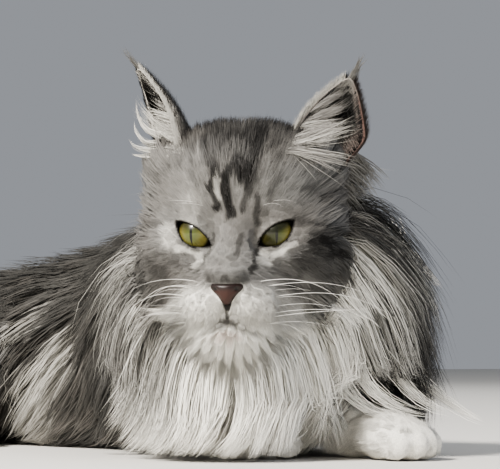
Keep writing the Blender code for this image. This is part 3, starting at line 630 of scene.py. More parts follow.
def sampled(field: Field, axes: list, step: float) -> Array:
    """The field on a grid, exact near the surface and rough away from it.

    Args:
        field: A function from points to their distance from the surface.
        axes: The grid's places along x, y and z.
        step: How far apart they are.

    Returns:
        The field's values on the grid.
    """
    every, reach, most = 4, 2.6, 400_000
    rough = [axis[::every] for axis in axes]
    grid = np.stack(np.meshgrid(*rough, indexing="ij"), -1).reshape(-1, 3)
    value = field(grid).reshape([len(axis) for axis in rough])
    for i, axis in enumerate(axes):
        nearest = np.minimum((np.arange(len(axis)) + every // 2) // every, value.shape[i] - 1)
        value = value.take(nearest, axis=i)
    near = np.argwhere(np.abs(value) < reach * every * step)
    places = np.stack([axes[i][near[:, i]] for i in range(3)], 1)
    value = value.copy()
    for start in range(0, len(near), most):
        part = slice(start, start + most)
        value[tuple(near[part].T)] = field(places[part])
    return value


def surface_net(field: Field, low: tuple, high: tuple, step: float) -> tuple:
    """The surface where a field is zero.

    Args:
        field: A function from points to their distance from the surface.
        low: The low corner of a box round it.
        high: The high corner of that box.
        step: The grid's step.

    Returns:
        Its corner points and its four-sided faces.
    """
    axes = [np.arange(low[i], high[i] + step, step) for i in range(3)]
    value = sampled(field, axes, step)
    grid = np.stack(np.meshgrid(*axes, indexing="ij"), -1)
    shape = np.array(value.shape) - 1
    total = np.zeros((*shape, 3))
    count = np.zeros(shape)
    crossings = []
    for axis in range(3):
        near = [slice(None)] * 3
        far = [slice(None)] * 3
        near[axis] = slice(None, -1)
        far[axis] = slice(1, None)
        first, second = value[tuple(near)], value[tuple(far)]
        crosses = (first < 0) != (second < 0)
        share = np.where(crosses, first / np.where(crosses, first - second, 1), 0)
        place = grid[tuple(near)].copy()
        place[..., axis] += share * step
        place *= crosses[..., None]
        others = [i for i in range(3) if i != axis]
        for a in (0, 1):
            for b in (0, 1):
                window = [slice(None)] * 3
                window[others[0]] = slice(a, shape[others[0]] + a)
                window[others[1]] = slice(b, shape[others[1]] + b)
                total += place[tuple(window)]
                count += crosses[tuple(window)]
        crossings.append((axis, others, crosses, first < 0))
    filled = count > 0
    index = np.full(shape, -1)
    index[filled] = np.arange(filled.sum())
    corners = total[filled] / count[filled][:, None]
    faces = []
    for axis, others, crosses, starts_inside in crossings:
        at = np.argwhere(crosses)
        kept = np.all([(at[:, o] > 0) & (at[:, o] < shape[o]) for o in others], axis=0)
        at = at[kept]
        ring = []
        for a, b in ((1, 1), (0, 1), (0, 0), (1, 0)):
            cell = at.copy()
            cell[:, others[0]] -= a
            cell[:, others[1]] -= b
            ring.append(index[tuple(cell.T)])
        quads = np.stack(ring, 1)
        outward = starts_inside[tuple(at.T)] ^ (axis == 1)
        quads[~outward] = quads[~outward][:, ::-1]
        faces.append(quads)
    return corners, np.concatenate(faces)


def new_object(name: str, data: bpy.types.ID) -> bpy.types.Object:
    """A new object in the scene that holds a mesh, a lamp or a camera."""
    made = bpy.data.objects.new(name, data)
    bpy.context.scene.collection.objects.link(made)
    return made


def in_metres(points: Array) -> Array:
    """Points in millimetres in the cat's frame as places in the scene."""
    return (np.asarray(points, float) - BELLY_MIDDLE) * MM


def with_modifiers(made: bpy.types.Object) -> bpy.types.Mesh:
    """A plain mesh of the object with its modifiers worked out."""
    graph = bpy.context.evaluated_depsgraph_get()
    return bpy.data.meshes.new_from_object(made.evaluated_get(graph))


def mesh_piece(name: str, points: Array, faces: Array) -> bpy.types.Object:
    """A new smooth object of many faces that all have as many corners.

    Args:
        name: Its name.
        points: Its corner points, in millimetres in the cat's frame.
        faces: The numbers of each face's corners, one row for each.

    Returns:
        The object.
    """
    faces = np.asarray(faces, np.int32)
    sides = faces.shape[1]
    mesh = bpy.data.meshes.new(name)
    mesh.vertices.add(len(points))
    mesh.vertices.foreach_set("co", in_metres(points).astype(np.float32).ravel())
    mesh.loops.add(faces.size)
    mesh.loops.foreach_set("vertex_index", faces.ravel())
    mesh.polygons.add(len(faces))
    mesh.polygons.foreach_set("loop_start", np.arange(0, faces.size, sides, dtype=np.int32))
    mesh.update(calc_edges=True)
    mesh.shade_smooth()
    return new_object(name, mesh)


def facing_out(made: bpy.types.Object) -> bpy.types.Object:
    """Turns the faces of a closed mesh outwards.

    Args:
        made: The mesh's object.

    Returns:
        The same object.
    """
    work = bmesh.new()
    work.from_mesh(made.data)
    bmesh.ops.recalc_face_normals(work, faces=work.faces)
    work.to_mesh(made.data)
    work.free()
    return made


def joined_in(made: bpy.types.Object, other: bpy.types.Object) -> None:
    """Unites another closed object with this one and removes it.

    Args:
        made: The object that stays.
        other: The one that becomes part of it.
    """
    step = made.modifiers.new("join", "BOOLEAN")
    step.operation = "UNION"
    step.object = other
    step.solver = "MANIFOLD"
    mesh = with_modifiers(made)
    made.modifiers.clear()
    made.data = mesh
    bpy.data.objects.remove(other)


def vertex_points(made: bpy.types.Object) -> Array:
    """The object's corner points in millimetres in the cat's frame."""
    points = np.empty(len(made.data.vertices) * 3, np.float32)
    made.data.vertices.foreach_get("co", points)
    return points.reshape(-1, 3).astype(float) / MM + BELLY_MIDDLE


def add_attribute(made: bpy.types.Object, name: str, kind: str, values: Array) -> None:
    """Stores one value for each corner point of an object under a name.

    Args:
        made: The object.
        name: The name.
        kind: FLOAT, FLOAT_VECTOR or FLOAT_COLOR.
        values: The values, one row for each corner point.
    """
    layer = made.data.attributes.new(name, kind, "POINT")
    fields = {"FLOAT": "value", "FLOAT_VECTOR": "vector", "FLOAT_COLOR": "color"}
    layer.data.foreach_set(fields[kind], np.asarray(values, np.float32).ravel())


@dataclass(frozen=True)
class Stroke:
    """A soft stroke of a marking from one place to another in a flat view."""

    start: tuple
    end: tuple
    half_width: float
    strength: float = 1.0

    def share(self, flat: Array) -> Array:
        """How strongly the marking shows at each place of the flat view."""
        start = np.array(self.start, float)
        along = np.array(self.end, float) - start
        near = flat - start
        part = np.clip(near @ along / max(along @ along, 1e-9), 0, 1)
        away = np.linalg.norm(near - part[:, None] * along, axis=1) / self.half_width
        return self.strength * smooth_step(away, 1.35, 0.55)


def strongest(strokes: tuple, flat: Array) -> Array:
    """The strongest of several strokes at each place of the flat view."""
    return np.max([stroke.share(flat) for stroke in strokes], axis=0)


@dataclass(frozen=True)
class Markings:
    """A silver tabby with white: where the coat is dark, white, brown or bare and pink.

    The face's strokes are in the head's frame, seen from the front, and the flank's are seen
    from the side, along and up.
    """

    form: CatForm = CatForm()
    face_dark: tuple = (
        Stroke((-2, 11), (-4, 32), 3.0, 1.0),
        Stroke((-4, 32), (3, 42), 4.6, 0.9),
        Stroke((5, 14), (8.5, 24), 2.0, 0.75),
        Stroke((8.5, 24), (12, 38), 2.6, 0.8),
        Stroke((13.5, 6), (13, 22), 1.9, 0.7),
        Stroke((-9.5, 14), (-12, 36), 2.4, 0.95),
        Stroke((-12, 36), (-16, 50), 4.4, 0.85),
        Stroke((8, 34), (10, 56), 8.5, 1.0),
        Stroke((-8, 50), (10, 62), 11, 0.85),
        Stroke((-19, 20), (-24, 44), 2.2, 0.4),
        Stroke((20, 20), (26, 44), 2.4, 0.5),
        Stroke((0, 46), (-4, 58), 3.0, 0.7),
        Stroke((-30, 50), (-18, 60), 7, 0.6),
        Stroke((18, 50), (34, 60), 8, 0.6),
        Stroke((-46, 31), (-30, 38), 3.0, 0.35),
        Stroke((5, -1), (4, -9), 1.9, 0.7),
        Stroke((-12, 0), (-12.2, -12), 1.0, 0.55),
        Stroke((12.5, -10), (13.5, -19), 1.3, 0.75),
        Stroke((-14.5, -12), (-17.5, -19), 1.2, 0.7),
        Stroke((-42, -12), (-25, -16), 4.4, 0.5),
        Stroke((-62, -17), (-42, -19), 6.0, 0.55),
        Stroke((-60, -28), (-36, -24), 2.4, 0.45),
        Stroke((24, -16), (34, -21), 5.4, 0.6),
        Stroke((36, -10), (50, -20), 8.5, 0.75),
        Stroke((48, -6), (66, -16), 9.5, 0.9),
        Stroke((34, 6), (58, 0), 3.0, 0.6),
        Stroke((30, -29), (60, -34), 3.0, 0.6),
        Stroke((-58, 4), (-44, 5), 2.5, 0.4),
        Stroke((40, 22), (62, 14), 4.0, 0.45),
        Stroke((-8, -21), (8, -21), 4.0, 0.5),
        Stroke((0, 2), (0, -14), 8.0, 0.2),
    )
    mouth_dark: tuple = (
        Stroke((0, -36), (0, -44), 1.5, 0.8),
        Stroke((-3, -46.5), (3, -46.5), 1.6, 0.65),
        Stroke((4, -47.5), (14, -51.5), 1.4, 0.5),
        Stroke((14, -51.5), (32, -51), 1.5, 0.4),
        Stroke((-4, -47.5), (-15, -51.5), 1.4, 0.4),
    )
    face_white: tuple = (
        Stroke((-27, 8), (-22, 20), 5.5, 0.12),
        Stroke((-7, 20), (-8, 30), 1.6, 0.2),
        Stroke((-38, 2), (-36, -4), 4.2, 0.25),
        Stroke((-33, -8), (-20, -11.5), 1.8, 0.35),
        Stroke((-19.5, -12), (-18.5, -15), 2.8, 0.3),
        Stroke((22, -11.5), (34, -5.5), 1.8, 0.3),
        Stroke((17, -12), (18, -15), 2.8, 0.3),
    )
    muzzle_white: tuple = (
        Stroke((-20, -37), (6, -37), 10, 0.62),
        # Painted shade: the muzzle's left half, from x 6 on, is less white because it lies on the
        # shaded side.
        Stroke((6, -37), (20, -37), 10, 0.38),
        Stroke((-34, -46), (34, -46), 8, 0.45),
        Stroke((-22, -58), (22, -58), 12, 0.9),
    )
    flank_dark: tuple = (
        Stroke((-40, 62), (40, 40), 27, 0.95),
        Stroke((84, 16), (108, 16), 9, 0.95),
        Stroke((0, 95), (300, 92), 20, 0.95),
        Stroke((36, 78), (96, 74), 8, 0.75),
        Stroke((104, 58), (150, 66), 9, 0.8),
        Stroke((150, 66), (176, 44), 9, 0.8),
        Stroke((70, 14), (112, 20), 11, 0.85),
        Stroke((176, 44), (152, 26), 8, 0.8),
        Stroke((196, 88), (206, 40), 9, 0.8),
        Stroke((232, 80), (240, 30), 9, 0.85),
        Stroke((268, 74), (274, 20), 9, 0.85),
        Stroke((304, 70), (306, 20), 9, 0.85),
    )
    flank_light: tuple = (
        Stroke((88, 70), (110, 50), 11, 0.8),
        Stroke((110, 50), (150, 20), 15, 0.9),
        Stroke((128, 84), (160, 82), 8, 0.45),
        Stroke((128, 44), (140, 46), 9, 0.5),
        Stroke((222, 60), (226, 30), 7, 0.4),
        Stroke((256, 60), (260, 24), 7, 0.4),
    )
    tail_rings: int = 9
    spot_spacing: float = 4.2

    def at(self, points: Array) -> Array:
        """The marking at each point.

        Args:
            points: Places on the skin, in millimetres in the cat's frame.

        Returns:
            Shares of dark, white, brown and pink, one row for each point.
        """
        distances = self.form.distances(points)
        part = distances.argmin(0)
        at = self.form.place.into(points)
        dark, white, brown = self.body(points)
        for here, (d, w, b) in (
            (part == Part.HEAD.value, self.face(at)),
            (part == Part.NECK.value, self.ruff(points)),
            (part == Part.TAIL.value, self.tail(points)),
        ):
            dark = np.where(here, d, dark)
            white = np.where(here, w, white)
            brown = np.where(here, b, brown)
        legs = (part == Part.LEFT_FORELEG.value) | (part == Part.RIGHT_FORELEG.value)
        sock = np.where(legs, smooth_step(points[:, 1], 10, -40), 0)
        hind = (part == Part.LEFT_HINDLEG.value) | (part == Part.RIGHT_HINDLEG.value)
        foot = smooth_step(points[:, 1], 190, 172) * smooth_step(np.abs(points[:, 0]), 80, 92)
        sock = np.maximum(sock, np.where(hind, foot, 0))
        white = np.maximum(white, sock)
        white = white * (1 - 0.34 * sock)
        return np.clip(np.stack([dark * (1 - sock), white, brown, self.pink(at)], 1), 0, 1)

    def face(self, at: Array) -> tuple:
        """Dark, white and brown shares on the head, at points of its own frame."""
        back, high = at[:, 1], at[:, 2]
        flat = at[:, [0, 2]] + 0.9 * np.stack([wobble(at, 7, 21), wobble(at, 7, 22)], 1)
        front = smooth_step(back, 30, 8)
        dark = strongest(self.face_dark, flat) * front
        crown = smooth_step(high, 34, 58) * 0.8 + 0.15 * wobble(at, 16, 23)
        behind = smooth_step(back, 14, 40) * smooth_step(high, -10, 25) * 0.5
        dark = np.maximum(dark, np.clip(crown, 0, 1) * (1 - 0.3 * front) + behind)
        white = strongest(self.face_white, flat) * front
        muzzle = strongest(self.muzzle_white, flat) * smooth_step(back, 24, -4)
        white = np.maximum(white, np.maximum(muzzle, smooth_step(high, -40, -54)))
        spots = self.whisker_spots(at)
        lips = smooth_step(field_of(self.form.mouth_grooves(), at), 1.6, 0.6)
        lips = np.maximum(lips, strongest(self.mouth_dark, flat) * smooth_step(back, 0, -12))
        dark = np.maximum(dark * (1 - 0.6 * white), np.maximum(0.4 * spots, 0.75 * lips))
        white = white * (1 - lips)
        rim = smooth_step(self.form.lids.opening(at), 1.7, 0.8) * (back < 5)
        dark, white = np.maximum(dark, rim), white * (1 - rim)
        chin = smooth_step(high, -50, -60)
        brown = 0.1 + 0.1 * wobble(at, 20, 24) + 0.15 * smooth_step(high, 40, 60) - chin
        return dark, white * (1 - 0.5 * spots), np.clip(brown, 0, 1)

    def whisker_spots(self, at: Array) -> Array:
        """The dark spots in rows on the lip's pads, at points of the head's frame."""
        spots = np.zeros(len(at))
        for number, row in enumerate(WHISKER_ROWS[:3]):
            first = 13 + WHISKER_STAGGER * (number % 2)
            across = (np.abs(at[:, 0]) - first) / self.spot_spacing
            aside = (across - np.round(across)) * self.spot_spacing
            near = np.hypot(aside, at[:, 2] - row)
            on_pad = (across > -0.5) & (across < 3.4) & (at[:, 1] < -18)
            spots = np.maximum(spots, smooth_step(near, 1.3, 0.5) * on_pad)
        return spots

    def ruff(self, points: Array) -> tuple:
        """Dark, white and brown shares on the ruff: a white bib with silver sides.

        Towards the camera's right the dark share rises and the white streaks thin out: painted
        shade.
        """
        away = points - VIEW_MIDDLE
        across, behind = away @ VIEW_RIGHT, away @ VIEW_AHEAD
        edge = np.abs(across - 10) + 10 * wobble(points, 14, 35)
        bib = smooth_step(edge, 60, 40) * smooth_step(behind, 66, 30)
        bib = bib * smooth_step(points[:, 2], 124, 104)
        # Painted shade: the dark share rises towards the camera's right; the other terms are the
        # ruff's own colour, darker behind and low on the left.
        shade = 0.3 + 0.5 * smooth_step(across, 0, 60) + 0.55 * smooth_step(behind, 50, 110)
        shade = shade + 0.4 * smooth_step(across, -38, -70) * smooth_step(points[:, 2], 120, 90)
        dark = np.clip(shade + 0.28 * wobble(points, 9, 31), 0, 1) * (1 - bib)
        # Painted shade: fewer white streaks towards the camera's right.
        light = 0.16 + 0.34 * wobble(points, 7, 33) - 0.15 * smooth_step(across, 20, 60)
        white = np.maximum(bib * 0.97, light * smooth_step(behind, 100, 40))
        brown = 0.1 * (1 - bib) + 0.25 * smooth_step(behind, 60, 110)
        return dark, white, np.clip(brown, 0, 1)

    def body(self, points: Array) -> tuple:
        """Dark, white and brown shares on the torso and the legs."""
        across, back, high = points.T
        fray = np.stack([wobble(points, 30, 41), wobble(points, 24, 42)], 1)
        flat = points[:, [1, 2]] + 5 * fray
        dark = strongest(self.flank_dark, flat)
        dark = np.maximum(dark, smooth_step(flat[:, 1], 84, 104) * 0.95)
        light = 0.72 * strongest(self.flank_light, flat) * (high < 92)
        dark = dark + 0.72 + 0.4 * wobble(points, 11, 43)
        dark = np.clip(dark, 0, 1) * (1 - 0.85 * light)
        chest = smooth_step(back, 40, 0) * smooth_step(across, -30, 10)
        chest = chest * smooth_step(high, 86, 62)
        dark = dark * (1 - 0.9 * chest)
        white = np.maximum(np.maximum(light * 0.6, 0.04), 0.6 * chest)
        brown = 0.5 + 0.25 * wobble(points, 30, 44) - 0.35 * light
        return dark, white, np.clip(brown, 0, 1)

    def tail(self, points: Array) -> tuple:
        """Dark, white and brown shares on the tail: rings and a dark tip."""
        path = smooth_path(self.form.tail_path, 3)
        away = np.linalg.norm(points[:, None] - path, axis=2)
        along = away.argmin(1) / (len(path) - 1) + 0.012 * wobble(points, 12, 51)
        wave = np.sin(along * self.tail_rings * math.tau)
        dark = smooth_step(wave, -0.5, 0.4) * 0.75 + 0.2
        dark = np.maximum(dark, smooth_step(along, 0.84, 0.92))
        return dark, np.full(len(points), 0.08), np.full(len(points), 0.45)

    def pink(self, at: Array) -> Array:
        """The share of bare, pink skin: the lower lip."""
        away = np.linalg.norm((at - (-1, -43, -53)) / (8, 9, 2.6), axis=1)
        return 0.3 * smooth_step(away, 1.3, 0.6)


@dataclass(frozen=True)
class Palette:
    """The colours of the coat as sRGB hex values."""

    ground: str = "#797875"
    brown: str = "#5F554D"
    dark: str = "#100E0C"
    white: str = "#FAF8EF"
    pink: str = "#94584C"


def linear(colour: str) -> tuple[float, float, float, float]:
    """An sRGB hex value as linear red, green, blue and full alpha."""
    parts = [int(colour[i : i + 2], 16) / 255 for i in (1, 3, 5)]
    made = [c / 12.92 if c <= 0.04045 else ((c + 0.055) / 1.055) ** 2.4 for c in parts]
    return (*made, 1.0)


MIX_A, MIX_B, MIX_OUT = 6, 7, 2


class Nodes:
    """A node tree, with short ways to add the nodes that the finishes share.

    A value that feeds a node is a number, a colour, a vector or another node's output.
    """

    def __init__(self, tree: bpy.types.NodeTree) -> None:
        """Takes the tree that the nodes go in."""
        self.tree = tree

    def feed(self, node: bpy.types.Node, inputs: dict) -> None:
        """Sets a node's inputs by name or number, and links those that another output feeds."""
        for key, value in inputs.items():
            if isinstance(value, bpy.types.NodeSocket):
                self.tree.links.new(value, node.inputs[key])
            else:
                node.inputs[key].default_value = value

    def add(self, kind: str, inputs: dict | None = None, **settings: object) -> bpy.types.Node:
        """Adds a node.

        Args:
            kind: The node's type.
            inputs: For each input's name or number, what feeds it.
            settings: The node's own settings.

        Returns:
            The node.
        """
        node = self.tree.nodes.new(kind)
        for name, value in settings.items():
            setattr(node, name, value)
        self.feed(node, inputs or {})
        return node

    def surface(self, inputs: dict) -> None:
        """Feeds the material's Principled shader."""
        self.feed(self.tree.nodes["Principled BSDF"], inputs)

    def place(self) -> Socket:
        """Places on the piece."""
        return self.add("ShaderNodeTexCoord").outputs["Object"]

    def stored(self, name: str, output: str = "Fac") -> Socket:
        """What the piece's corner points hold under a name."""
        return self.add("ShaderNodeAttribute", attribute_name=name).outputs[output]

    def math(self, operation: str, first: Feed, second: Feed, clamped: bool = False) -> Socket:
        """The result of one operation on two numbers."""
        inputs, settings = {0: first, 1: second}, {"operation": operation, "use_clamp": clamped}
        return self.add("ShaderNodeMath", inputs, **settings).outputs[0]

    def vector(self, x: Feed, y: Feed, z: Feed) -> Socket:
        """A vector of three numbers."""
        return self.add("ShaderNodeCombineXYZ", {"X": x, "Y": y, "Z": z}).outputs[0]

    def noise(self, place: Feed, scale: float, detail: float) -> Socket:
        """Soft noise at a scale."""
        inputs = {"Vector": place, "Scale": scale, "Detail": detail}
        return self.add("ShaderNodeTexNoise", inputs).outputs[0]

    def ranged(
        self,
        value: Feed,
        taken: tuple[float, float],
        given: tuple[float, float] = (0.0, 1.0),
        kind: str = "LINEAR",
    ) -> Socket:
        """A value carried over from one range to another.

        Args:
            value: What is carried over.
            taken: The range that it comes from; past its ends the result stays as it is there.
            given: The range that it goes to.
            kind: The way between the ends.

        Returns:
            The output with the result.
        """
        inputs = {"Value": value, "From Min": taken[0], "From Max": taken[1]}
        inputs |= {"To Min": given[0], "To Max": given[1]}
        return self.add("ShaderNodeMapRange", inputs, interpolation_type=kind).outputs[0]

    def mixed(self, share: Feed, under: Feed, over: Feed) -> Socket:
        """The colour under another, with a share of that laid over it."""
        inputs = {0: share, MIX_A: under, MIX_B: over}
        return self.add("ShaderNodeMix", inputs, data_type="RGBA").outputs[MIX_OUT]

    def lit(self, colour: Feed, level: Feed) -> Socket:
        """The colour at another level of brightness."""
        return self.add("ShaderNodeHueSaturation", {"Value": level, "Color": colour}).outputs[0]

    def bumped(self, height: Feed, distance_mm: float, strength: float) -> Socket:
        """The surface's normal with a bump."""
        inputs = {"Height": height, "Distance": distance_mm * MM, "Strength": strength}
        return self.add("ShaderNodeBump", inputs).outputs[0]


def new_material(name: str) -> tuple[bpy.types.Material, Nodes]:
    """A new material and its nodes, with a Principled shader among them."""
    material = bpy.data.materials.new(name)
    material.use_nodes = True
    return material, Nodes(material.node_tree)


@dataclass(frozen=True)
class HairFinish:
    """Cat hair: keratin, satin, with painted shade towards the root and fine streaks along every
    strand.
    """

    name: str
    palette: Palette = Palette()
    roughness: float = 0.5
    ior: float = 1.55
    specular: float = 0.25
    root_shade: float = 0.8
    root_length: float = 0.45
    spread: float = 0.14
    hair_mm: float = 0.1
    streaks: float = 0.35
    seeds_apart: float = 90.0

    def material(self) -> bpy.types.Material:
        """Builds the material from what the strands hold."""
        material, nodes = new_material(self.name)
        along, vary = nodes.stored("along"), nodes.stored("vary")
        coloured = coat_colour(nodes, self.palette, along)
        # Painted shade: darker towards the root, where the coat shades itself.
        root = nodes.ranged(along, (0, self.root_length), (self.root_shade, 1))
        each = nodes.ranged(vary, (0, 1), (1 - self.spread, 1 + self.spread / 2))
        aside = nodes.math("MULTIPLY", nodes.stored("across"), 1 / self.hair_mm)
        other = nodes.math("MULTIPLY", vary, self.seeds_apart)
        noise = nodes.noise(nodes.vector(aside, along, other), 1, 1)
        streak = nodes.ranged(noise, (0.3, 0.7), (1 - self.streaks, 1 + self.streaks / 3))
        level = nodes.math("MULTIPLY", nodes.math("MULTIPLY", streak, root), each)
        surface = {"Base Color": nodes.lit(coloured, level), "Roughness": self.roughness}
        nodes.surface(surface | {"IOR": self.ior, "Specular IOR Level": self.specular})
        return material


def coat_colour(nodes: Nodes, palette: Palette, along: Feed) -> Socket:
    """The coat's colour from its markings.

    Args:
        nodes: The material's nodes.
        palette: The colours.
        along: The place along the strand.

    Returns:
        The output with the colour.
    """
    marks = nodes.add("ShaderNodeAttribute", attribute_name="markings").outputs
    parts = nodes.add("ShaderNodeSeparateColor", {"Color": marks["Color"]})
    dark, white, brown = parts.outputs
    tipped = nodes.ranged(along, (0, 0.35), (0.55, 1))
    colour = linear(palette.ground)
    for share, shade in (
        (brown, palette.brown),
        (nodes.math("MULTIPLY", dark, tipped, clamped=True), palette.dark),
        (white, palette.white),
        (marks["Alpha"], palette.pink),
    ):
        colour = nodes.mixed(share, colour, linear(shade))
    return colour


@dataclass(frozen=True)
class SkinFinish:
    """Skin under a close coat: the coat's own colours, matt, combed by a fine bump."""

    name: str = "short_fur_on_skin"
    palette: Palette = Palette()
    hair_mm: float = 0.8
    bump_mm: float = 0.35
    speckle: float = 0.28

    def material(self) -> bpy.types.Material:
        """Builds the material from the skin's own markings."""
        material, nodes = new_material(self.name)
        speckle = nodes.noise(nodes.place(), 1 / (self.hair_mm * MM), 2)
        level = nodes.ranged(speckle, (0.3, 0.7), (1 - self.speckle, 1))
        colour = nodes.lit(coat_colour(nodes, self.palette, 0.5), level)
        surface = {"Base Color": colour, "Normal": nodes.bumped(speckle, self.bump_mm, 0.8)}
        nodes.surface(surface | {"Roughness": 0.8, "Specular IOR Level": 0.2})
        return material


@dataclass(frozen=True)
class Skin:
    """The one skin of the cat, from its ears to the tip of its tail."""

    form: CatForm
    markings: Markings
    head_step: float = 1.0
    body_step: float = 3.2
    head_low: tuple = (-66.0, -56.0, -64.0)
    head_high: tuple = (66.0, 80.0, 66.0)
    body_low: tuple = (-140.0, -180.0, -6.0)
    body_high: tuple = (190.0, 430.0, 160.0)
    lowest: float = 0.5
    name: str = "skin"

    def build(self) -> bpy.types.Object:
        """Makes the head with its ears, unites it with the body and paints the markings."""
        form, place = self.form, self.form.place
        points, faces = surface_net(form.face, self.head_low, self.head_high, self.head_step)
        made = mesh_piece(self.name, place.out(settled(form.face, points)), faces)
        for ear in (LEFT_EAR, RIGHT_EAR):
            points, faces = ear.mesh()
            shell = closed_piece(ear.name, place.out(points), faces)
            joined_in(made, facing_out(shell))
        points, faces = surface_net(form.body, self.body_low, self.body_high, self.body_step)
        points = settled(form.body, points)
        points[:, 2] = np.maximum(points[:, 2], self.lowest)
        joined_in(made, mesh_piece("body", points, faces))
        made.data.shade_smooth()
        self.paint(made)
        return made

    def paint(self, made: bpy.types.Object) -> None:
        """Gives the skin its markings and its material."""
        points = vertex_points(made)
        marks = self.markings.at(points)
        at = self.form.place.into(points)
        for ear in (LEFT_EAR, RIGHT_EAR):
            marks = ear_markings(ear, at, marks)
        add_attribute(made, "markings", "FLOAT_COLOR", marks)
        made.data.materials.clear()
        made.data.materials.append(SkinFinish().material())


def ear_markings(ear: EarShell, at: Array, marks: Array) -> Array:
    """The markings with those of an ear's shell: a dark rim and back, a reddish or pale cup.

    Args:
        ear: The ear.
        at: Places on the skin in the head's frame.
        marks: The markings there so far.

    Returns:
        The new markings.
    """
    base, up, opens, side = ear.axes()
    near = at - base
    height = near @ up / (up @ up)
    rel = near - np.multiply.outer(height, up)
    away = np.linalg.norm(rel, axis=1)
    here = (height > 0.04) & (away < 30) & (height < 1.1)
    lateral = rel @ side * ear.outward()
    inside = here & (rel @ opens > -9) & (away < 20)
    marks = marks.copy()
    marks[here] = (0.55, 0.1, 0.3, 0)
    red = smooth_step(lateral, 2, 12) * 0.9 * (1 - ear.pale)
    cup = np.stack([0.35 + 0.3 * red, 0.25 * (1 - red), 0.5 + 0.2 * red, 0.06 + 0.14 * red], 1)
    cup = cup + ear.pale * np.array([-0.3, 0.25, -0.1, 0.0])
    marks[inside] = cup[inside]
    return marks


def closed_piece(name: str, points: Array, faces: list) -> bpy.types.Object:
    """A new smooth object of faces of any kind.

    Args:
        name: Its name.
        points: Its corner points, in millimetres in the cat's frame.
        faces: The numbers of each face's corners.

    Returns:
        The object.
    """
    mesh = bpy.data.meshes.new(name)
    corners = [list(map(int, face)) for face in faces]
    mesh.from_pydata(in_metres(points).tolist(), [], corners)
    mesh.shade_smooth()
    return new_object(name, mesh)


def turned_about(vectors: Array, axes: Array, angles: Array) -> Array:
    """Each vector turned about its axis by its angle in radians."""
    cosine, sine = np.cos(angles)[:, None], np.sin(angles)[:, None]
    dots = (vectors * axes).sum(1, keepdims=True)
    return vectors * cosine + np.cross(axes, vectors) * sine + axes * dots * (1 - cosine)


@dataclass(frozen=True)
class Comb:
    """The lie of the coat, and guide lines combed along it over the skin."""

    form: CatForm
    ruff_middle: tuple = (0, 20, 0)
    ruff_fall: float = 0.9
    ruff_back: float = 0.35
    steps: int = 10
    smoothing: int = 9

    def lie(self, points: Array) -> Array:
        """The way the coat lies: back along the torso, out and down on the ruff, off the nose.

        Args:
            points: Places on or near the skin.

        Returns:
            A way of length one at each, not yet laid along the skin.
        """
        distances = self.form.distances(points)
        place = self.form.place
        down = -UP
        side = np.sign(points[:, :1])
        flank = np.clip(np.abs(points[:, :1]) / 60, 0, 1)
        torso = np.array([0, 1.0, 0]) + down * (0.15 + 0.75 * flank)
        torso = torso + side * np.array([0.12, 0, 0])
        from_face = points - place.out(self.ruff_middle)
        axis = place.axes()[:, 1]
        outward = unit(from_face - np.outer(from_face @ axis, axis))
        low = smooth_step(points[:, 2:3], 125, 85)
        across = (points - VIEW_MIDDLE) @ VIEW_RIGHT
        right = smooth_step(across, -25, 50)[:, None]
        spread = 0.75 * (1 - low) + low * (0.1 + 0.42 * right)
        back = self.ruff_back * (1 - low) - 0.12 * low
        ruff = spread * outward + self.ruff_fall * down + back * axis
        tail, near_tail = self.along_tail(points)
        tail = tail + 0.25 * down
        ruff_share = np.clip(1 - (distances[Part.NECK.value] - 11) / 25, 0, 1)[:, None]
        ruff_share = ruff_share * np.clip((60 - points[:, 1:2]) / 60, 0, 1)
        tail_share = np.clip(1 - (near_tail - 34) / 20, 0, 1)[:, None]
        lie = torso * (1 - ruff_share) * (1 - tail_share) + ruff * ruff_share + tail * tail_share
        high = place.into(points)[:, 2:3]
        sag = 0.75 * smooth_step(high, 12, -22)
        face = unit(points - place.out((0, -42.5, -27))) + sag * down
        head_share = np.clip(1 - (distances[Part.HEAD.value] - 2) / 10, 0, 1)[:, None]
        return unit(lie * (1 - head_share) + face * head_share)

    def along_tail(self, points: Array) -> tuple[Array, Array]:
        """The way the nearest stretch of tail runs, and how far off its middle is."""
        path = smooth_path(self.form.tail_path, 3)
        middles = (path[1:] + path[:-1]) / 2
        away = np.linalg.norm(points[:, None] - middles, axis=2)
        return unit(path[1:] - path[:-1])[away.argmin(1)], away.min(1)

    def guides(
        self, roots: Array, lengths: Array, curls: Array, free: float
    ) -> tuple[Array, Array]:
        """Lines over the skin along the lie, which may hang clear of it.

        Args:
            roots: Where they start.
            lengths: How long each is, in millimetres.
            curls: How far each turns aside by its end, in radians.
            free: From 0 for a coat that hugs the skin to 1 for one that hangs by its weight.

        Returns:
            The lines' points and the way out of the coat at each.
        """
        place = roots.copy()
        lines, normals = [], []
        for step in range(self.steps + 1):
            normal = unit(gradient(self.form.skin, place, 1.5))
            gap = self.form.skin(place)
            hug = np.where(gap > 0, 1 - 0.8 * free, 1)
            place = place - normal * np.clip(gap * hug, -4, 4)[:, None]
            lines.append(place.copy())
            level = normal.copy()
            level[:, 2] = np.maximum(level[:, 2], -0.1 - 0.9 * (1 - free))
            normals.append(unit(level))
            lie = turned_about(self.lie(place), normal, curls * step / self.steps)
            out = (lie * normal).sum(1, keepdims=True)
            ahead = unit(lie - normal * (out - free * np.maximum(out, 0)))
            place = place + ahead * (lengths / self.steps)[:, None]
        line = np.stack(lines, 1)
        for _ in range(self.smoothing):
            line[:, 1:-1] = (line[:, :-2] + 2 * line[:, 1:-1] + line[:, 2:]) / 4
        return line, np.stack(normals, 1)


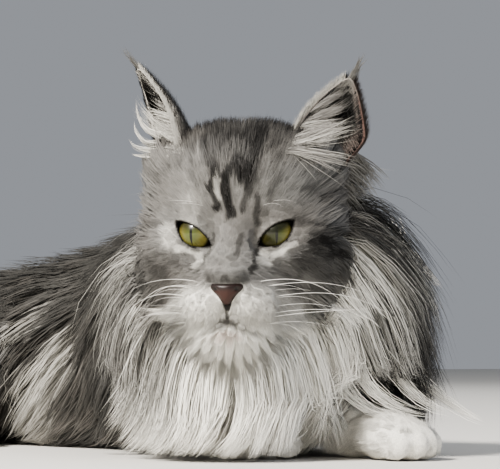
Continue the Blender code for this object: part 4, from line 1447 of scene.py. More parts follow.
@dataclass(frozen=True)
class Growth:
    """How the coat grows on one zone of the body.

    The length is a least one in millimetres and a multiple of the coat's depth to go with it.
    Cover is how many hairs lie over each other, spacing the distance between guides, clump how
    far hairs gather to their guide's tip, rise how much of the coat's depth they stand up, and
    free how far they hang clear of the skin. Curl is in degrees, wave and width in millimetres.
    """

    parts: tuple
    slot: str
    length: tuple = (0.0, 0.0)
    width: float = 1.0
    cover: float = 4.0
    spacing: float = 9.0
    clump: float = 0.6
    rings: int = 3
    rise: tuple = (0.3, 1.1)
    free: float = 0.5
    curl: float = 14.0
    wave: float = 1.5
    fleck: float = 0.3


SILVER, WHITE = "coat_silver_tabby", "coat_white"
FORELEGS = (Part.LEFT_FORELEG, Part.RIGHT_FORELEG)
HINDLEGS = (Part.LEFT_HINDLEG, Part.RIGHT_HINDLEG)
GROWTHS = {
    "face": Growth(
        (Part.HEAD,), SILVER, width=0.36, cover=3.1, spacing=4.5, clump=0.3, rings=1,
        rise=(0.5, 1.2), free=0.0, curl=3.0, wave=0.3, fleck=0.26,
    ),
    "cheeks": Growth(
        (Part.HEAD,), SILVER, width=0.56, cover=5.4, spacing=6.5, clump=0.7, rings=4,
        rise=(0.6, 2.0), free=0.5, curl=8.0, wave=1.5, fleck=0.24,
    ),
    "ruff": Growth(
        (Part.NECK,), WHITE, (10.0, 3.1), width=0.56, cover=8.0, spacing=8.5, clump=0.8,
        rings=4, free=1.0, curl=9.0, wave=3.0, fleck=0.14,
    ),
    "torso": Growth(
        (Part.TORSO,), SILVER, (6.0, 4.0), width=1.1, cover=6.0, spacing=10.0, clump=0.76,
        rings=4, rise=(0.3, 1.2), free=0.6, curl=12.0, wave=2.0,
    ),
    "forelegs": Growth(
        FORELEGS, WHITE, (2.4, 3.0), width=0.45, cover=4.4, spacing=6.0, clump=0.2, rings=1,
        free=0.3, curl=4.0, wave=0.4, fleck=0.1,
    ),
    "hindlegs": Growth(HINDLEGS, SILVER, (3.0, 3.8), width=1.2, cover=3.4, spacing=9.0),
    "tail": Growth((Part.TAIL,), SILVER, (4.0, 3.1), width=1.2, cover=5.0, spacing=9.0),
}
ZONES = list(GROWTHS)
TAPER_PLACES = (0, 0.3, 0.7, 1)
TAPER = (0.8, 1.0, 0.72, 0.1)
MEAN_TAPER = 0.62
RIDGE = 0.7
BAKE_PATCH = 0.003
MANE_FROM = 15.0


def hair_faces(rings: int) -> Array:
    """The triangles of one closed, three-sided hair: its foot, its sides and its tip."""
    faces = [(0, 2, 1)]
    for i in range(rings - 1):
        for side in range(3):
            a, b = 3 * i + side, 3 * i + (side + 1) % 3
            faces += [(a, b, a + 3), (b, b + 3, a + 3)]
    top = 3 * (rings - 1)
    faces += [(top + side, top + (side + 1) % 3, 3 * rings) for side in range(3)]
    return np.array(faces)


@dataclass
class Strands:
    """Many strands of hair as lines, with what each needs to be made solid and painted."""

    lines: Array
    normals: Array
    widths: Array
    marks: Array
    roots_uv: Array
    seeds: Array
    roundness: float = 0.55

    def part(self, chosen: Array) -> "Strands":
        """Only the chosen strands."""
        held = (self.lines, self.normals, self.widths, self.marks, self.roots_uv, self.seeds)
        return Strands(*(values[chosen] for values in held), self.roundness)

    def piece(self, name: str, material: bpy.types.Material) -> bpy.types.Object:
        """Makes the strands one mesh of closed, flat, three-sided tapered hairs.

        Args:
            name: The name of the piece.
            material: Its material.

        Returns:
            The piece.
        """
        count, rings = self.lines.shape[0], self.lines.shape[1] - 1
        ahead = unit(np.diff(self.lines, axis=1))
        ahead = unit(np.concatenate([ahead[:, :1], ahead[:, :-1] + ahead[:, 1:]], 1))
        across = unit(np.cross(ahead, self.normals[:, :rings]))
        over = np.cross(across, ahead)
        share = np.arange(rings) / rings
        taper = np.interp(share, TAPER_PLACES, TAPER)
        half = self.widths[:, None, None] / 2 * taper[None, :, None]
        middle = self.lines[:, :rings]
        ridge = middle + over * half * RIDGE
        ring = np.stack([middle - across * half, ridge, middle + across * half], 2)
        points = np.concatenate([ring.reshape(count, -1, 3), self.lines[:, -1:]], 1)
        per = points.shape[1]
        faces = hair_faces(rings)
        everyone = (faces[None] + per * np.arange(count)[:, None, None]).reshape(-1, 3)
        made = mesh_piece(name, points.reshape(-1, 3), everyone)
        along = np.append(np.repeat(share, 3), 1.0)
        sideways = np.append(np.tile([-0.5, 0.0, 0.5], rings), 0.0)
        add_attribute(made, "markings", "FLOAT_COLOR", np.repeat(self.marks, per, 0))
        add_attribute(made, "along", "FLOAT", np.tile(along, count))
        add_attribute(made, "vary", "FLOAT", np.repeat(self.seeds, per))
        add_attribute(made, "across", "FLOAT", np.outer(self.widths, sideways))
        self.soften(made, across, over)
        sides = np.append(np.tile([0.0, 0.4, 0.8], rings), 0.4)
        lean = np.append(np.tile([0.0, 0.12, 0.0], rings), 0.0)
        local = np.stack([along * 0.85 + lean, sides], 1) * BAKE_PATCH
        places = (self.roots_uv[:, None] + local[None]).reshape(-1, 2)
        layer = made.data.uv_layers.new(name="OFBake")
        layer.data.foreach_set("uv", places[everyone.ravel()].astype(np.float32).ravel())
        made.data.materials.append(material)
        return made

    def soften(self, made: bpy.types.Object, across: Array, over: Array) -> None:
        """Lets every hair catch the light mostly as the coat round it does.

        Args:
            made: The hairs' mesh.
            across: The way across each hair at each of its rings.
            over: The way out of its flat side.
        """
        count, rings = across.shape[:2]
        radial = np.stack([-across, over, across], 2) * self.roundness
        soft = unit(radial + self.normals[:, :rings, None])
        soft = np.concatenate([soft.reshape(count, -1, 3), soft[:, -1, 1:2]], 1)
        made.data.normals_split_custom_set_from_vertices(soft.reshape(-1, 3).tolist())


@dataclass(frozen=True)
class Unwrap:
    """A flat map of the skin's own shape, for the places of the roots on the strands' map."""

    faces: int = 6000

    def build(self, skin: bpy.types.Object) -> tuple[BVHTree, Array, Array]:
        """Unwraps a thinned copy of the skin.

        Args:
            skin: The whole skin.

        Returns:
            A tree of its triangles, their corners and their corners' places on the map.
        """
        copy = new_object("unwrap", skin.data.copy())
        thin = copy.modifiers.new("thin", "DECIMATE")
        thin.ratio = self.faces / (2 * len(skin.data.polygons))
        thin.use_collapse_triangulate = True
        mesh = with_modifiers(copy)
        copy.modifiers.clear()
        copy.data = mesh
        bpy.context.view_layer.objects.active = copy
        copy.select_set(True)
        bpy.ops.object.mode_set(mode="EDIT")
        bpy.ops.mesh.select_all(action="SELECT")
        bpy.ops.uv.smart_project(angle_limit=math.radians(66), island_margin=0.002)
        bpy.ops.object.mode_set(mode="OBJECT")
        points = vertex_points(copy)
        corners = np.empty(len(mesh.loops), np.int32)
        mesh.loops.foreach_get("vertex_index", corners)
        corners = corners.reshape(-1, 3)
        flat = np.empty(len(mesh.loops) * 2, np.float32)
        mesh.uv_layers.active.data.foreach_get("uv", flat)
        tree = BVHTree.FromPolygons(points.tolist(), corners.tolist())
        bpy.data.objects.remove(copy)
        return tree, points[corners], flat.reshape(-1, 3, 2)


def map_places(unwrap: tuple, points: Array) -> Array:
    """The places of points on the flat map of the skin.

    Args:
        unwrap: What Unwrap has built.
        points: Points on or near the skin.

    Returns:
        Their places on the map.
    """
    tree, corners, flat = unwrap
    found = [tree.find_nearest(Vector(point)) for point in points]
    index = np.array([hit[2] for hit in found])
    near = np.array([hit[0][:] for hit in found])
    a, b, c = (corners[index, i] for i in range(3))
    normal = np.cross(b - a, c - a)
    size = np.maximum((normal**2).sum(1), 1e-12)
    second = (np.cross(near - a, c - a) * normal).sum(1) / size
    third = (np.cross(b - a, near - a) * normal).sum(1) / size
    shares = np.clip(np.stack([1 - second - third, second, third], 1), 0, 1)
    return (flat[index] * shares[:, :, None]).sum(1)


@dataclass(frozen=True)
class Coat:
    """The long and the short coat: guides combed over the skin, and strands that follow them."""

    form: CatForm
    markings: Markings
    comb: Comb
    unwrap: tuple
    seed: int = 5
    lowest: float = 0.5
    hidden_below: float = 8.0
    strays: float = 0.05
    ear_foot: tuple = (52.0, 24.0, 30.0)

    def roots(self, skin: bpy.types.Object) -> tuple[Array, Array, Array]:
        """Places on the skin for the strands, closer where the hair is short and fine.

        Args:
            skin: The whole skin.

        Returns:
            The roots, the zone each stands on and the depth of the coat there.
        """
        rng = np.random.default_rng(self.seed)
        mesh = skin.data
        mesh.calc_loop_triangles()
        corners = np.empty(len(mesh.loop_triangles) * 3, np.int32)
        mesh.loop_triangles.foreach_get("vertices", corners)
        corners = vertex_points(skin)[corners.reshape(-1, 3)]
        middles = corners.mean(1)
        normal = np.cross(corners[:, 1] - corners[:, 0], corners[:, 2] - corners[:, 0])
        areas = np.linalg.norm(normal, axis=1) / 2
        depth = self.form.coat_depth(middles)
        zone = self.zones(middles)
        density = self.sizes(middles, zone, depth)[2]
        under = (unit(normal)[:, 2] < -0.6) & (middles[:, 2] < self.hidden_below)
        bare = self.bare(middles) | under
        wanted = np.where(bare, 0, areas * density)
        count = int(wanted.sum())
        picked = rng.choice(len(areas), size=count, p=wanted / wanted.sum())
        a, b = rng.random((2, count, 1))
        low, high = np.where(a + b > 1, 1 - a, a), np.where(a + b > 1, 1 - b, b)
        tri = corners[picked]
        points = tri[:, 0] + low * (tri[:, 1] - tri[:, 0]) + high * (tri[:, 2] - tri[:, 0])
        return points, zone[picked], depth[picked]

    def zones(self, points: Array) -> Array:
        """The number of the zone of the coat in which each point lies."""
        part = self.form.distances(points).argmin(0)
        zone = np.zeros(len(points), int)
        for number, growth in enumerate(GROWTHS.values()):
            for kind in growth.parts:
                zone[part == kind.value] = number
        mane = self.head_length(self.form.place.into(points)) > MANE_FROM
        head = part == Part.HEAD.value
        zone[head] = np.where(mane[head], ZONES.index("cheeks"), ZONES.index("face"))
        return zone

    def head_length(self, at: Array) -> Array:
        """How long the hair of the head grows at points of its own frame."""
        across, back, high = np.abs(at[:, 0]), at[:, 1], at[:, 2]
        brow = 4.5 + 4.5 * smooth_step(high, 4, 24) + 2 * smooth_step(high, 26, 52)
        muzzle = smooth_step(back, -8, -22) * smooth_step(high, -18, -26)
        short = 2.6 + 4.6 * smooth_step(across, 10, 28)
        length = brow + (short - brow) * muzzle
        bridge = smooth_step(across, 13, 7) * smooth_step(high, 6, -6)
        length = length * (1 - 0.3 * bridge)
        eye = np.linalg.norm(mirrored(at) - np.array(self.form.lids.eye), axis=1)
        length = length * (0.55 + 0.45 * smooth_step(eye, 13, 24))
        lips = field_of(self.form.mouth_grooves(), at)
        length = length * (0.45 + 0.55 * smooth_step(lips, 1, 9))
        side = smooth_step(across, 24, 46) * smooth_step(high, 30, 0)
        length = length + 26 * side * smooth_step(back, -10, 18)
        length = length + 20 * smooth_step(back, 20, 48) * smooth_step(high, 52, 26)
        foot = np.linalg.norm(mirrored(at) - self.ear_foot, axis=1)
        length = length + 13 * smooth_step(foot, 26, 12)
        return length + 22 * smooth_step(high, -56, -64) * smooth_step(back, -20, 0)

    def sizes(self, points: Array, zone: Array, depth: Array) -> tuple:
        """How the hair grows at each point.

        Args:
            points: Places on the skin.
            zone: The number of the zone, for each.
            depth: The depth of the coat at each.

        Returns:
            Length, width and strands per square millimetre at each point.
        """
        length, width, cover = (np.zeros(len(points)) for _ in range(3))
        for number, growth in enumerate(GROWTHS.values()):
            here = zone == number
            length[here] = growth.length[0] + growth.length[1] * depth[here]
            width[here] = growth.width
            cover[here] = growth.cover
        head = zone <= ZONES.index("cheeks")
        length[head] = self.head_length(self.form.place.into(points))[head]
        width[head] *= 0.72 + 0.28 * smooth_step(length[head], 4, 13)
        ruff = zone == ZONES.index("ruff")
        aside = (points[ruff] - VIEW_MIDDLE) @ VIEW_RIGHT
        edge = 67 * np.clip((-40 - aside) / 43, 0, 1)
        longest = np.maximum((points[ruff, 2] - edge) * 1.3, 22)
        length[ruff] = np.minimum(length[ruff], longest)
        return length, width, cover / (MEAN_TAPER * length * width)

    def bare(self, points: Array) -> Array:
        """Where no hair grows: on the lids' edges, sockets, nose leather and lips."""
        at = self.form.place.into(points)
        eye = np.linalg.norm(mirrored(at) - np.array(self.form.lids.eye), axis=1)
        lids = (self.form.lids.opening(at) < 1.2) | (eye < self.form.lids.radius + 0.5)
        leather = Nose(self.form).field(at) < 0.4
        lips = field_of(self.form.mouth_grooves(), at) < 1.3
        return lids | leather | lips

    def grow(self, skin: bpy.types.Object) -> dict:
        """Grows the strands of every zone.

        Args:
            skin: The whole skin.

        Returns:
            The strands of each zone by its name.
        """
        roots, zone, depth = self.roots(skin)
        grown = {}
        for number, (name, growth) in enumerate(GROWTHS.items()):
            here = zone == number
            rng = np.random.default_rng(self.seed + 17 * number)
            grown[name] = self.strands(roots[here], zone[here], depth[here], growth, rng)
        return grown

    def strands(
        self, roots: Array, zone: Array, depth: Array, growth: Growth, rng: Draws
    ) -> Strands:
        """The strands of one zone, each following its nearest guide.

        Args:
            roots: Where the strands start.
            zone: The number of the zone, for each.
            depth: The depth of the coat at each.
            growth: How the coat grows there.
            rng: The source of what varies.

        Returns:
            The strands.
        """
        count = len(roots)
        length, width, _ = self.sizes(roots, zone, depth)
        chosen = spaced(roots, growth.spacing)
        guides = roots[chosen]
        curls = np.radians(rng.uniform(-growth.curl, growth.curl, len(guides)))
        reach = rng.uniform(0.85, 1.15, len(guides))
        lines, normals = self.comb.guides(guides, length[chosen] * reach, curls, growth.free)
        near = nearest_of(guides, roots)
        share = np.linspace(0, 1, growth.rings + 1)
        cut = rng.uniform(0.72, 1.08, count) * np.clip(length / length[chosen][near], 0.5, 1.5)
        above = np.cumprod(lines[:, :, 2] > self.lowest + 2, 1).sum(1) / (self.comb.steps + 1)
        cut = np.minimum(cut, np.maximum(above[near], 0.3) * rng.uniform(0.86, 1.02, count))
        places = share[None] * cut[:, None]
        at, up = self.followed(lines[near], normals[near], places, length)
        clump = growth.clump * rng.uniform(0.5, 1.15, count)
        stray = rng.random(count) < self.strays
        clump[stray] = 0
        aside = (roots - guides[near])[:, None]
        at = at + aside * (1 - np.clip(clump, 0, 1)[:, None, None] * share[None, :, None] ** 1.3)
        high = depth * rng.uniform(*growth.rise, count) ** 0.8
        high[stray] *= 1.35
        at = at + up * (high[:, None] * share[None] ** 0.75)[:, :, None]
        across = unit(np.cross(up[:, 0], lines[near, 1] - lines[near, 0]))
        phase = rng.uniform(0, math.tau, count)[:, None]
        sway = growth.wave * rng.uniform(0.3, 1.0, count)[:, None] * share[None]
        at = at + across[:, None] * (sway * np.sin(phase + 3.2 * share[None]))[:, :, None]
        at[:, 0] = roots - up[:, 0] * 0.6
        floor = self.lowest + rng.uniform(0, 3.0, count)
        at[:, :, 2] = np.maximum(at[:, :, 2], floor[:, None])
        marks = self.markings.at(roots + 0.35 * (lines[near, -1] - lines[near, 0]))
        flecked = rng.random(count)
        tone = rng.normal(0, 0.4, len(guides))[near] * growth.fleck
        fleck = ((flecked - 0.5) * growth.fleck + tone) * (1 - marks[:, 1])
        marks[:, 0] = np.clip(marks[:, 0] + fleck, 0, 1)
        return Strands(
            at,
            up,
            width * rng.uniform(0.7, 1.25, count),
            marks,
            map_places(self.unwrap, roots),
            rng.random(count),
        )

    def followed(
        self, lines: Array, normals: Array, places: Array, length: Array
    ) -> tuple[Array, Array]:
        """Points along each strand's guide, and straight on past its end.

        Args:
            lines: The guide of each strand.
            normals: The way out of the coat along the guide.
            places: Where the points lie on it, with 1 at its end.
            length: The length of each strand.

        Returns:
            The points and the way out of the coat at each.
        """
        place = np.clip(places, 0, 1) * self.comb.steps
        low = np.minimum(place.astype(int), self.comb.steps - 1)
        part_way = (place - low)[:, :, None]
        rows = np.arange(len(lines))[:, None]
        at = lines[rows, low] * (1 - part_way) + lines[rows, low + 1] * part_way
        up = unit(normals[rows, low] * (1 - part_way) + normals[rows, low + 1] * part_way)
        beyond = (np.maximum(places - 1, 0) * length[:, None])[:, :, None]
        return at + unit(lines[:, -1] - lines[:, -2])[:, None] * beyond, up


def spaced(points: Array, apart: float) -> Array:
    """Which points to keep so that none lies nearer to another than that.

    Args:
        points: The points, of which the first ones are kept first.
        apart: The least distance.

    Returns:
        The numbers of the kept points.
    """
    cells = {}
    kept = []
    keys = np.floor(points / apart).astype(int)
    steps = [(x, y, z) for x in (-1, 0, 1) for y in (-1, 0, 1) for z in (-1, 0, 1)]
    for i, (point, key) in enumerate(zip(points.tolist(), keys.tolist())):
        close = False
        for step in steps:
            other = cells.get((key[0] + step[0], key[1] + step[1], key[2] + step[2]))
            if other is not None and math.dist(other, point) < apart:
                close = True
                break
        if not close and tuple(key) not in cells:
            cells[tuple(key)] = point
            kept.append(i)
    return np.array(kept)


def nearest_of(targets: Array, points: Array) -> Array:
    """The number of the nearest target to each point.

    Args:
        targets: What the points are near to.
        points: The points.

    Returns:
        One number for each point.
    """
    tree = KDTree(len(targets))
    for i, target in enumerate(targets):
        tree.insert(target, i)
    tree.balance()
    return np.array([tree.find(point)[1] for point in points])


@dataclass(frozen=True)
class Hairs:
    """A set of an ear's hairs in the head's frame, with one row for each hair.

    Each starts on the shell and leaves it by its way, bends, and may gather towards its lock.
    """

    start: Array
    way: Array
    bend: Array | float
    length: Array
    facing: Array
    width: float
    marks: Array
    gather: Array | float = 0.0


@dataclass(frozen=True)
class EarHair:
    """The hair of an ear: a short coat inside and out, long locks out of its cup and a tuft."""

    ear: EarShell
    place: HeadPlace
    droop: float
    seed: int = 3
    back: int = 5600
    lining: int = 3600
    locks: int = 22
    furnishings: int = 1150
    behind: int = 900
    tuft: int = 46
    roundness: float = 1.6

    def build(self, uv: Array) -> dict:
        """Grows all hair of the ear.

        Args:
            uv: The place of the ear on the map of the skin.

        Returns:
            Its short and its long strands by name.
        """
        rng = np.random.default_rng(self.seed)
        short = [self.outer_coat(rng), self.inner_coat(rng)]
        long = [self.sweep(rng), self.mane(rng), self.tip(rng)]
        return {"fur": self.joined(short, 1, rng, uv), "locks": self.joined(long, 4, rng, uv)}

    def frame(self) -> tuple[Array, Array, Array]:
        """The way up the ear, the way it opens and the way away from the head's middle."""
        _, up, opens, side = self.ear.axes()
        return unit(up), opens, side * self.ear.outward()

    def outer_coat(self, rng: Draws) -> Hairs:
        """Short dark hair up the back of the ear, and a pale fringe on its edge."""
        rise, pale, count = self.frame()[0], self.ear.pale, self.back
        height, across = rng.uniform(-0.22, 0.97, count), rng.uniform(-1, 1, count)
        edge = rng.random(count) < 0.3
        across[edge] = np.sign(across[edge]) * rng.uniform(0.94, 1.02, edge.sum())
        start = self.ear.at(height, across, np.full(count, 0.2))
        facing = unit(start - self.ear.at(height, across, np.full(count, 1.2)))
        way = rise + facing * 0.2 + rng.normal(0, 0.1, (count, 3))
        length = rng.uniform(5, 9, count) * (1 - 0.35 * height)
        marks = np.tile((0.72, 0.0, 0.35, 0.0), (count, 1))
        marks[:, 0] += rng.uniform(-0.25, 0.2, count)
        edge = self.ear.outward() * across
        outer = smooth_step(edge, -0.3, 0.4) * pale
        marks[:, 0] *= 1 - 0.85 * outer
        marks[:, 1] = 0.4 * outer
        marks[edge < -0.88] = (0.12, 0.35, 0.25, 0.0)
        marks[edge > 0.86] = (0.6 - 0.5 * pale, 0.45 * pale, 0.6, 0.05)
        return Hairs(start, way, 0.0, length, facing, 0.4, marks)

    def inner_coat(self, rng: Draws) -> Hairs:
        """Short cream and grey hair that lines the cup."""
        rise, _, out = self.frame()
        pale, count = self.ear.pale, self.lining
        height, across = rng.uniform(-0.1, 0.93, count), rng.uniform(-0.97, 0.97, count)
        thick = self.ear.thickness(height)
        start = self.ear.at(height, across, thick - 0.2)
        inward = unit(self.ear.at(height, across, thick + 1) - start)
        edge = self.ear.outward() * across
        toward = out * (0.6 - 0.9 * (edge > -0.1))[:, None]
        lift = inward * (0.5 + 0.6 * height)[:, None]
        way = rise * 0.75 + toward + lift + rng.normal(0, 0.12, (count, 3))
        length = rng.uniform(6, 12, count) * (1 - 0.45 * height)
        marks = np.tile((0.25 - 0.2 * pale, 0.2 + 0.4 * pale, 0.35, 0), (count, 1))
        far = smooth_step(edge, 0, 0.7) * (1 - pale)
        marks[:, 0] += rng.uniform(-0.15, 0.25, count) + 0.3 * far
        marks[:, 3] = 0.2 * smooth_step(edge, 0.45, 0.9)
        return Hairs(start, way, rise * 0.1, length, inward, 0.4, marks)

    def sweep(self, rng: Draws) -> Hairs:
        """Long white locks that grow inside the near edge and sweep out over the cup."""
        rise, opens, out = self.frame()
        pale, count = self.ear.pale, self.furnishings
        which = rng.integers(0, self.locks, count)
        spot = np.linspace(0.12, 0.62 + 0.2 * pale, self.locks) + rng.normal(0, 0.02, self.locks)
        level = spot[which] + rng.normal(0, 0.025, count)
        side = rng.uniform(-0.98, -0.6, self.locks)[which] + rng.normal(0, 0.07, count)
        start = self.ear.at(level, side * self.ear.outward(), self.ear.thickness(level))
        for _ in range(14):
            start[:, 1] += np.minimum(field_of(CatForm().head, start) - 0.3, 0)
        climb = 1.5 * spot - 0.12 + 0.2 * pale + rng.normal(0, 0.16, self.locks)
        way = out * (0.8 + 0.5 * pale) + opens * 0.42 + rise * climb[which][:, None]
        way = way + rng.normal(0, 0.09, (count, 3))
        lift = (rng.normal(0.4, 0.35, self.locks) - self.droop * (1 - 2 * spot))[which]
        bend = rise * lift[:, None] - opens * 0.35 + out * 0.25
        bend = bend + rng.normal(0, 0.1, (count, 3))
        reach = (40 + 6 * pale - 42 * spot) * rng.uniform(0.7, 1.2, self.locks)
        length = reach[which] * rng.uniform(0.4, 1.05, count)
        bright = 0.36 - 0.45 * spot + 0.3 * pale + rng.normal(0, 0.1, self.locks)
        marks = np.tile((0.05, 0.0, 0.2, 0.0), (count, 1))
        marks[:, 1] = bright[which] - rng.uniform(0, 0.35, count)
        middles = np.array([start[which == lock].mean(0) for lock in range(self.locks)])
        gather = (middles[which] - start) * 0.6
        return Hairs(start, way, bend, length, np.tile(opens, (count, 1)), 0.34, marks, gather)

    def mane(self, rng: Draws) -> Hairs:
        """Longer grey hair round the foot of the ear, on its outer side."""
        rise, opens, out = self.frame()
        count = self.behind
        level, side = rng.uniform(-0.3, 0.24, count), rng.uniform(-0.2, 1.0, count)
        start = self.ear.at(level, side * self.ear.outward(), np.full(count, 0.2))
        way = out * 0.9 - opens * 0.35 - rise * 0.25 + rng.normal(0, 0.16, (count, 3))
        marks = np.tile((0.45, 0.1, 0.1, 0.0), (count, 1))
        marks[:, 0] += rng.uniform(-0.25, 0.35, count)
        length = rng.uniform(14, 30, count)
        bend = rise * -0.55 - opens * 0.2
        return Hairs(start, way, bend, length, np.tile(out, (count, 1)), 0.75, marks)

    def tip(self, rng: Draws) -> Hairs:
        """The dark tuft on the tip."""
        rise, opens, _ = self.frame()
        count = self.tuft
        height = rng.uniform(0.86, 0.99, count)
        start = self.ear.at(height, rng.uniform(-0.5, 0.5, count), np.full(count, 0.5))
        tip = self.ear.at(np.ones(1), np.zeros(1), np.zeros(1))[0]
        aside = np.array([np.sign(self.ear.base[0]) * 4, 0, 0])
        way = unit(tip + rise * 12 + aside - start) + rng.normal(0, 0.09, (count, 3))
        length = rng.uniform(7, 19, count)
        marks = np.tile((0.7, 0.05, 0.2, 0.0), (count, 1))
        bend = rng.normal(0, 0.12, (count, 3))
        return Hairs(start, way, bend, length, np.tile(opens, (count, 1)), 0.42, marks)

    def joined(self, sets: list, rings: int, rng: Draws, uv: Array) -> Strands:
        """Sets of hair as strands in the cat's frame.

        Args:
            sets: The sets of hair.
            rings: How many rings each strand gets.
            rng: The source of what varies.
            uv: The place of the ear on the map of the skin.

        Returns:
            The strands of all the sets.
        """
        share = np.linspace(0, 1, rings + 1)[None, :, None]
        lines, normals, widths = [], [], []
        for hairs in sets:
            bend = np.broadcast_to(hairs.bend, hairs.way.shape)
            gather = np.broadcast_to(hairs.gather, hairs.way.shape)
            line = unit(hairs.way)[:, None] * share + bend[:, None] * 0.45 * share**2
            line = hairs.start[:, None] + hairs.length[:, None, None] * line
            line = line + gather[:, None] * share
            lines.append(self.place.out(line.reshape(-1, 3)).reshape(line.shape))
            turned = hairs.facing @ self.place.axes().T
            normals.append(np.repeat(turned[:, None], rings + 1, 1))
            widths.append(hairs.width * rng.uniform(0.7, 1.2, len(hairs.start)))
        count = sum(len(line) for line in lines)
        return Strands(
            np.concatenate(lines),
            np.concatenate(normals),
            np.concatenate(widths),
            np.concatenate([np.clip(hairs.marks, 0, 1) for hairs in sets]),
            uv + rng.uniform(-0.02, 0.02, (count, 2)),
            rng.random(count),
            self.roundness,
        )


@dataclass(frozen=True)
class LooseLocks:
    """Long locks that leave the ruff and the right ear, each a bundle along its own path.

    The ruff's paths are places across, behind and above the floor as the camera sees them, and
    the ear's are in the head's frame.
    """

    place: HeadPlace
    ruff: tuple = (
        ((62, 90, 86), (80, 78, 66), (104, 66, 43), (124, 60, 28), (140, 58, 20)),
        ((66, 60, 84), (78, 50, 62), (90, 44, 44), (104, 42, 32), (120, 44, 26)),
        ((52, 46, 84), (59, 37, 60), (70, 30, 40), (88, 26, 29), (108, 26, 25)),
        ((40, 42, 78), (47, 34, 55), (57, 29, 38), (72, 25, 28), (90, 22, 26)),
        ((74, 84, 92), (84, 76, 66), (92, 70, 44), (104, 66, 30)),
        ((84, 110, 96), (94, 104, 70), (100, 98, 46), (108, 94, 30)),
        ((86, 122, 130), (97, 118, 114), (113, 116, 93), (118, 114, 77)),
        ((84, 118, 136), (97, 114, 121), (110, 112, 110), (119, 110, 101)),
    )
    ear: tuple = (
        ((-46, 28, 53), (-55, 24, 58), (-59.5, 22, 67), (-60, 22, 77)),
        ((-46, 28, 50), (-55, 24, 50), (-60.5, 22, 56), (-62, 22, 63)),
        ((-45, 28, 46), (-54, 24, 45.5), (-62, 22, 48), (-65, 21, 53)),
        ((-44, 28, 43), (-53, 24, 42.5), (-60, 22, 43), (-64, 21, 44)),
    )
    hairs: int = 64
    spread: float = 5.0
    rings: int = 6
    width: float = 0.42
    seed: int = 12

    def strands(self, unwrap: tuple) -> Strands:
        """The hairs of every lock, gathered towards its tip.

        Args:
            unwrap: What Unwrap has built.

        Returns:
            The strands.
        """
        rng = np.random.default_rng(self.seed)
        share = np.linspace(0, 1, self.rings + 1)
        lines, marks = [], []
        for number, path in enumerate((*self.ruff, *self.ear)):
            on_ear = number >= len(self.ruff)
            at = np.array(path, float)
            if on_ear:
                at = self.place.out(at)
            else:
                at = VIEW_MIDDLE + at @ np.stack([VIEW_RIGHT, VIEW_AHEAD, UP])
            dense = smooth_path(at, 8)
            places = np.linspace(0, 1, len(dense))
            count = self.hairs // 3 if on_ear else self.hairs
            reach = rng.uniform(0.5, 1.0, count)[:, None] * share
            line = np.stack([np.interp(reach, places, dense[:, i]) for i in range(3)], 2)
            aside = rng.normal(0, self.spread * (0.3 if on_ear else 1), (count, 1, 3))
            line = line + aside * (1 - 0.8 * share[None, :, None] ** 0.7)
            lines.append(line)
            mark = np.tile((0.12, 0.4 if on_ear else 0.6, 0.1, 0.0), (count, 1))
            mark[:, 1] += rng.uniform(-0.3, 0.3, count)
            marks.append(mark)
        lines, marks = np.concatenate(lines), np.concatenate(marks)
        lines[:, :, 2] = np.maximum(lines[:, :, 2], 1)
        count = len(lines)
        return Strands(
            lines,
            np.broadcast_to(unit(0.4 * UP - VIEW_AHEAD), lines.shape),
            self.width * rng.uniform(0.7, 1.2, count),
            marks,
            map_places(unwrap, lines[:, 0]),
            rng.random(count),
        )


@dataclass(frozen=True)
class LeatherFinish:
    """Nose leather: moist, fine pebbled skin, brick red with a dark edge and painted shade."""

    name: str = "moist_nose_leather"
    middle: str = "#331912"
    edge: str = "#120A08"
    grain_mm: float = 0.5
    bump_mm: float = 0.1

    def material(self) -> bpy.types.Material:
        """Builds the material."""
        material, nodes = new_material(self.name)
        inputs = {"Vector": nodes.place(), "Scale": 1 / (self.grain_mm * MM)}
        grain = nodes.add("ShaderNodeTexVoronoi", inputs).outputs["Distance"]
        # The rim share carries the leather's dark edge and its painted shade.
        colour = nodes.mixed(nodes.stored("rim"), linear(self.middle), linear(self.edge))
        surface = {"Base Color": colour, "Normal": nodes.bumped(grain, self.bump_mm, 0.5)}
        nodes.surface(surface | {"Roughness": 0.45, "Specular IOR Level": 0.5})
        return material


@dataclass(frozen=True)
class Nose:
    """The nose leather with its comma-shaped nostrils."""

    form: CatForm
    step: float = 0.4
    reach: tuple = (13.0, 11.0, 13.0)

    def field(self, at: Array) -> Array:
        """How far each point of the head's frame is outside the leather."""
        nose = self.form.nose
        whole = field_of(nose.leather, at)
        cut = -smooth_min(-whole, nose.top - at[:, 2], 1.6)
        return field_of((_Given(cut), *nose.holes), at)

    def build(self) -> bpy.types.Object:
        """Makes the nose leather and marks its dark rim, with painted shade in the nostrils and
        along its top.
        """
        middle = np.array(self.form.nose.leather[0].centre) + (0, 0, -2)
        reach = np.array(self.reach)
        points, faces = surface_net(self.field, middle - reach, middle + reach, self.step)
        points = settled(self.field, points)
        made = mesh_piece("nose_leather", self.form.place.out(points), faces)
        near_skin = smooth_step(field_of(self.form.head, points), 3.0, 0.8)
        # Painted shade in the nostrils and along the top edge under the bridge's fur; the dark
        # edge next to the skin is the leather's own.
        nostril_painted_shade = smooth_step(field_of(self.form.nose.leather, points), -0.25, -0.8)
        top = smooth_step(points[:, 2], -29.5, -26) * 0.85
        rim = np.clip(np.maximum(np.maximum(near_skin * 0.9, nostril_painted_shade), top), 0, 1)
        add_attribute(made, "rim", "FLOAT", rim)
        made.data.materials.append(LeatherFinish().material())
        return made


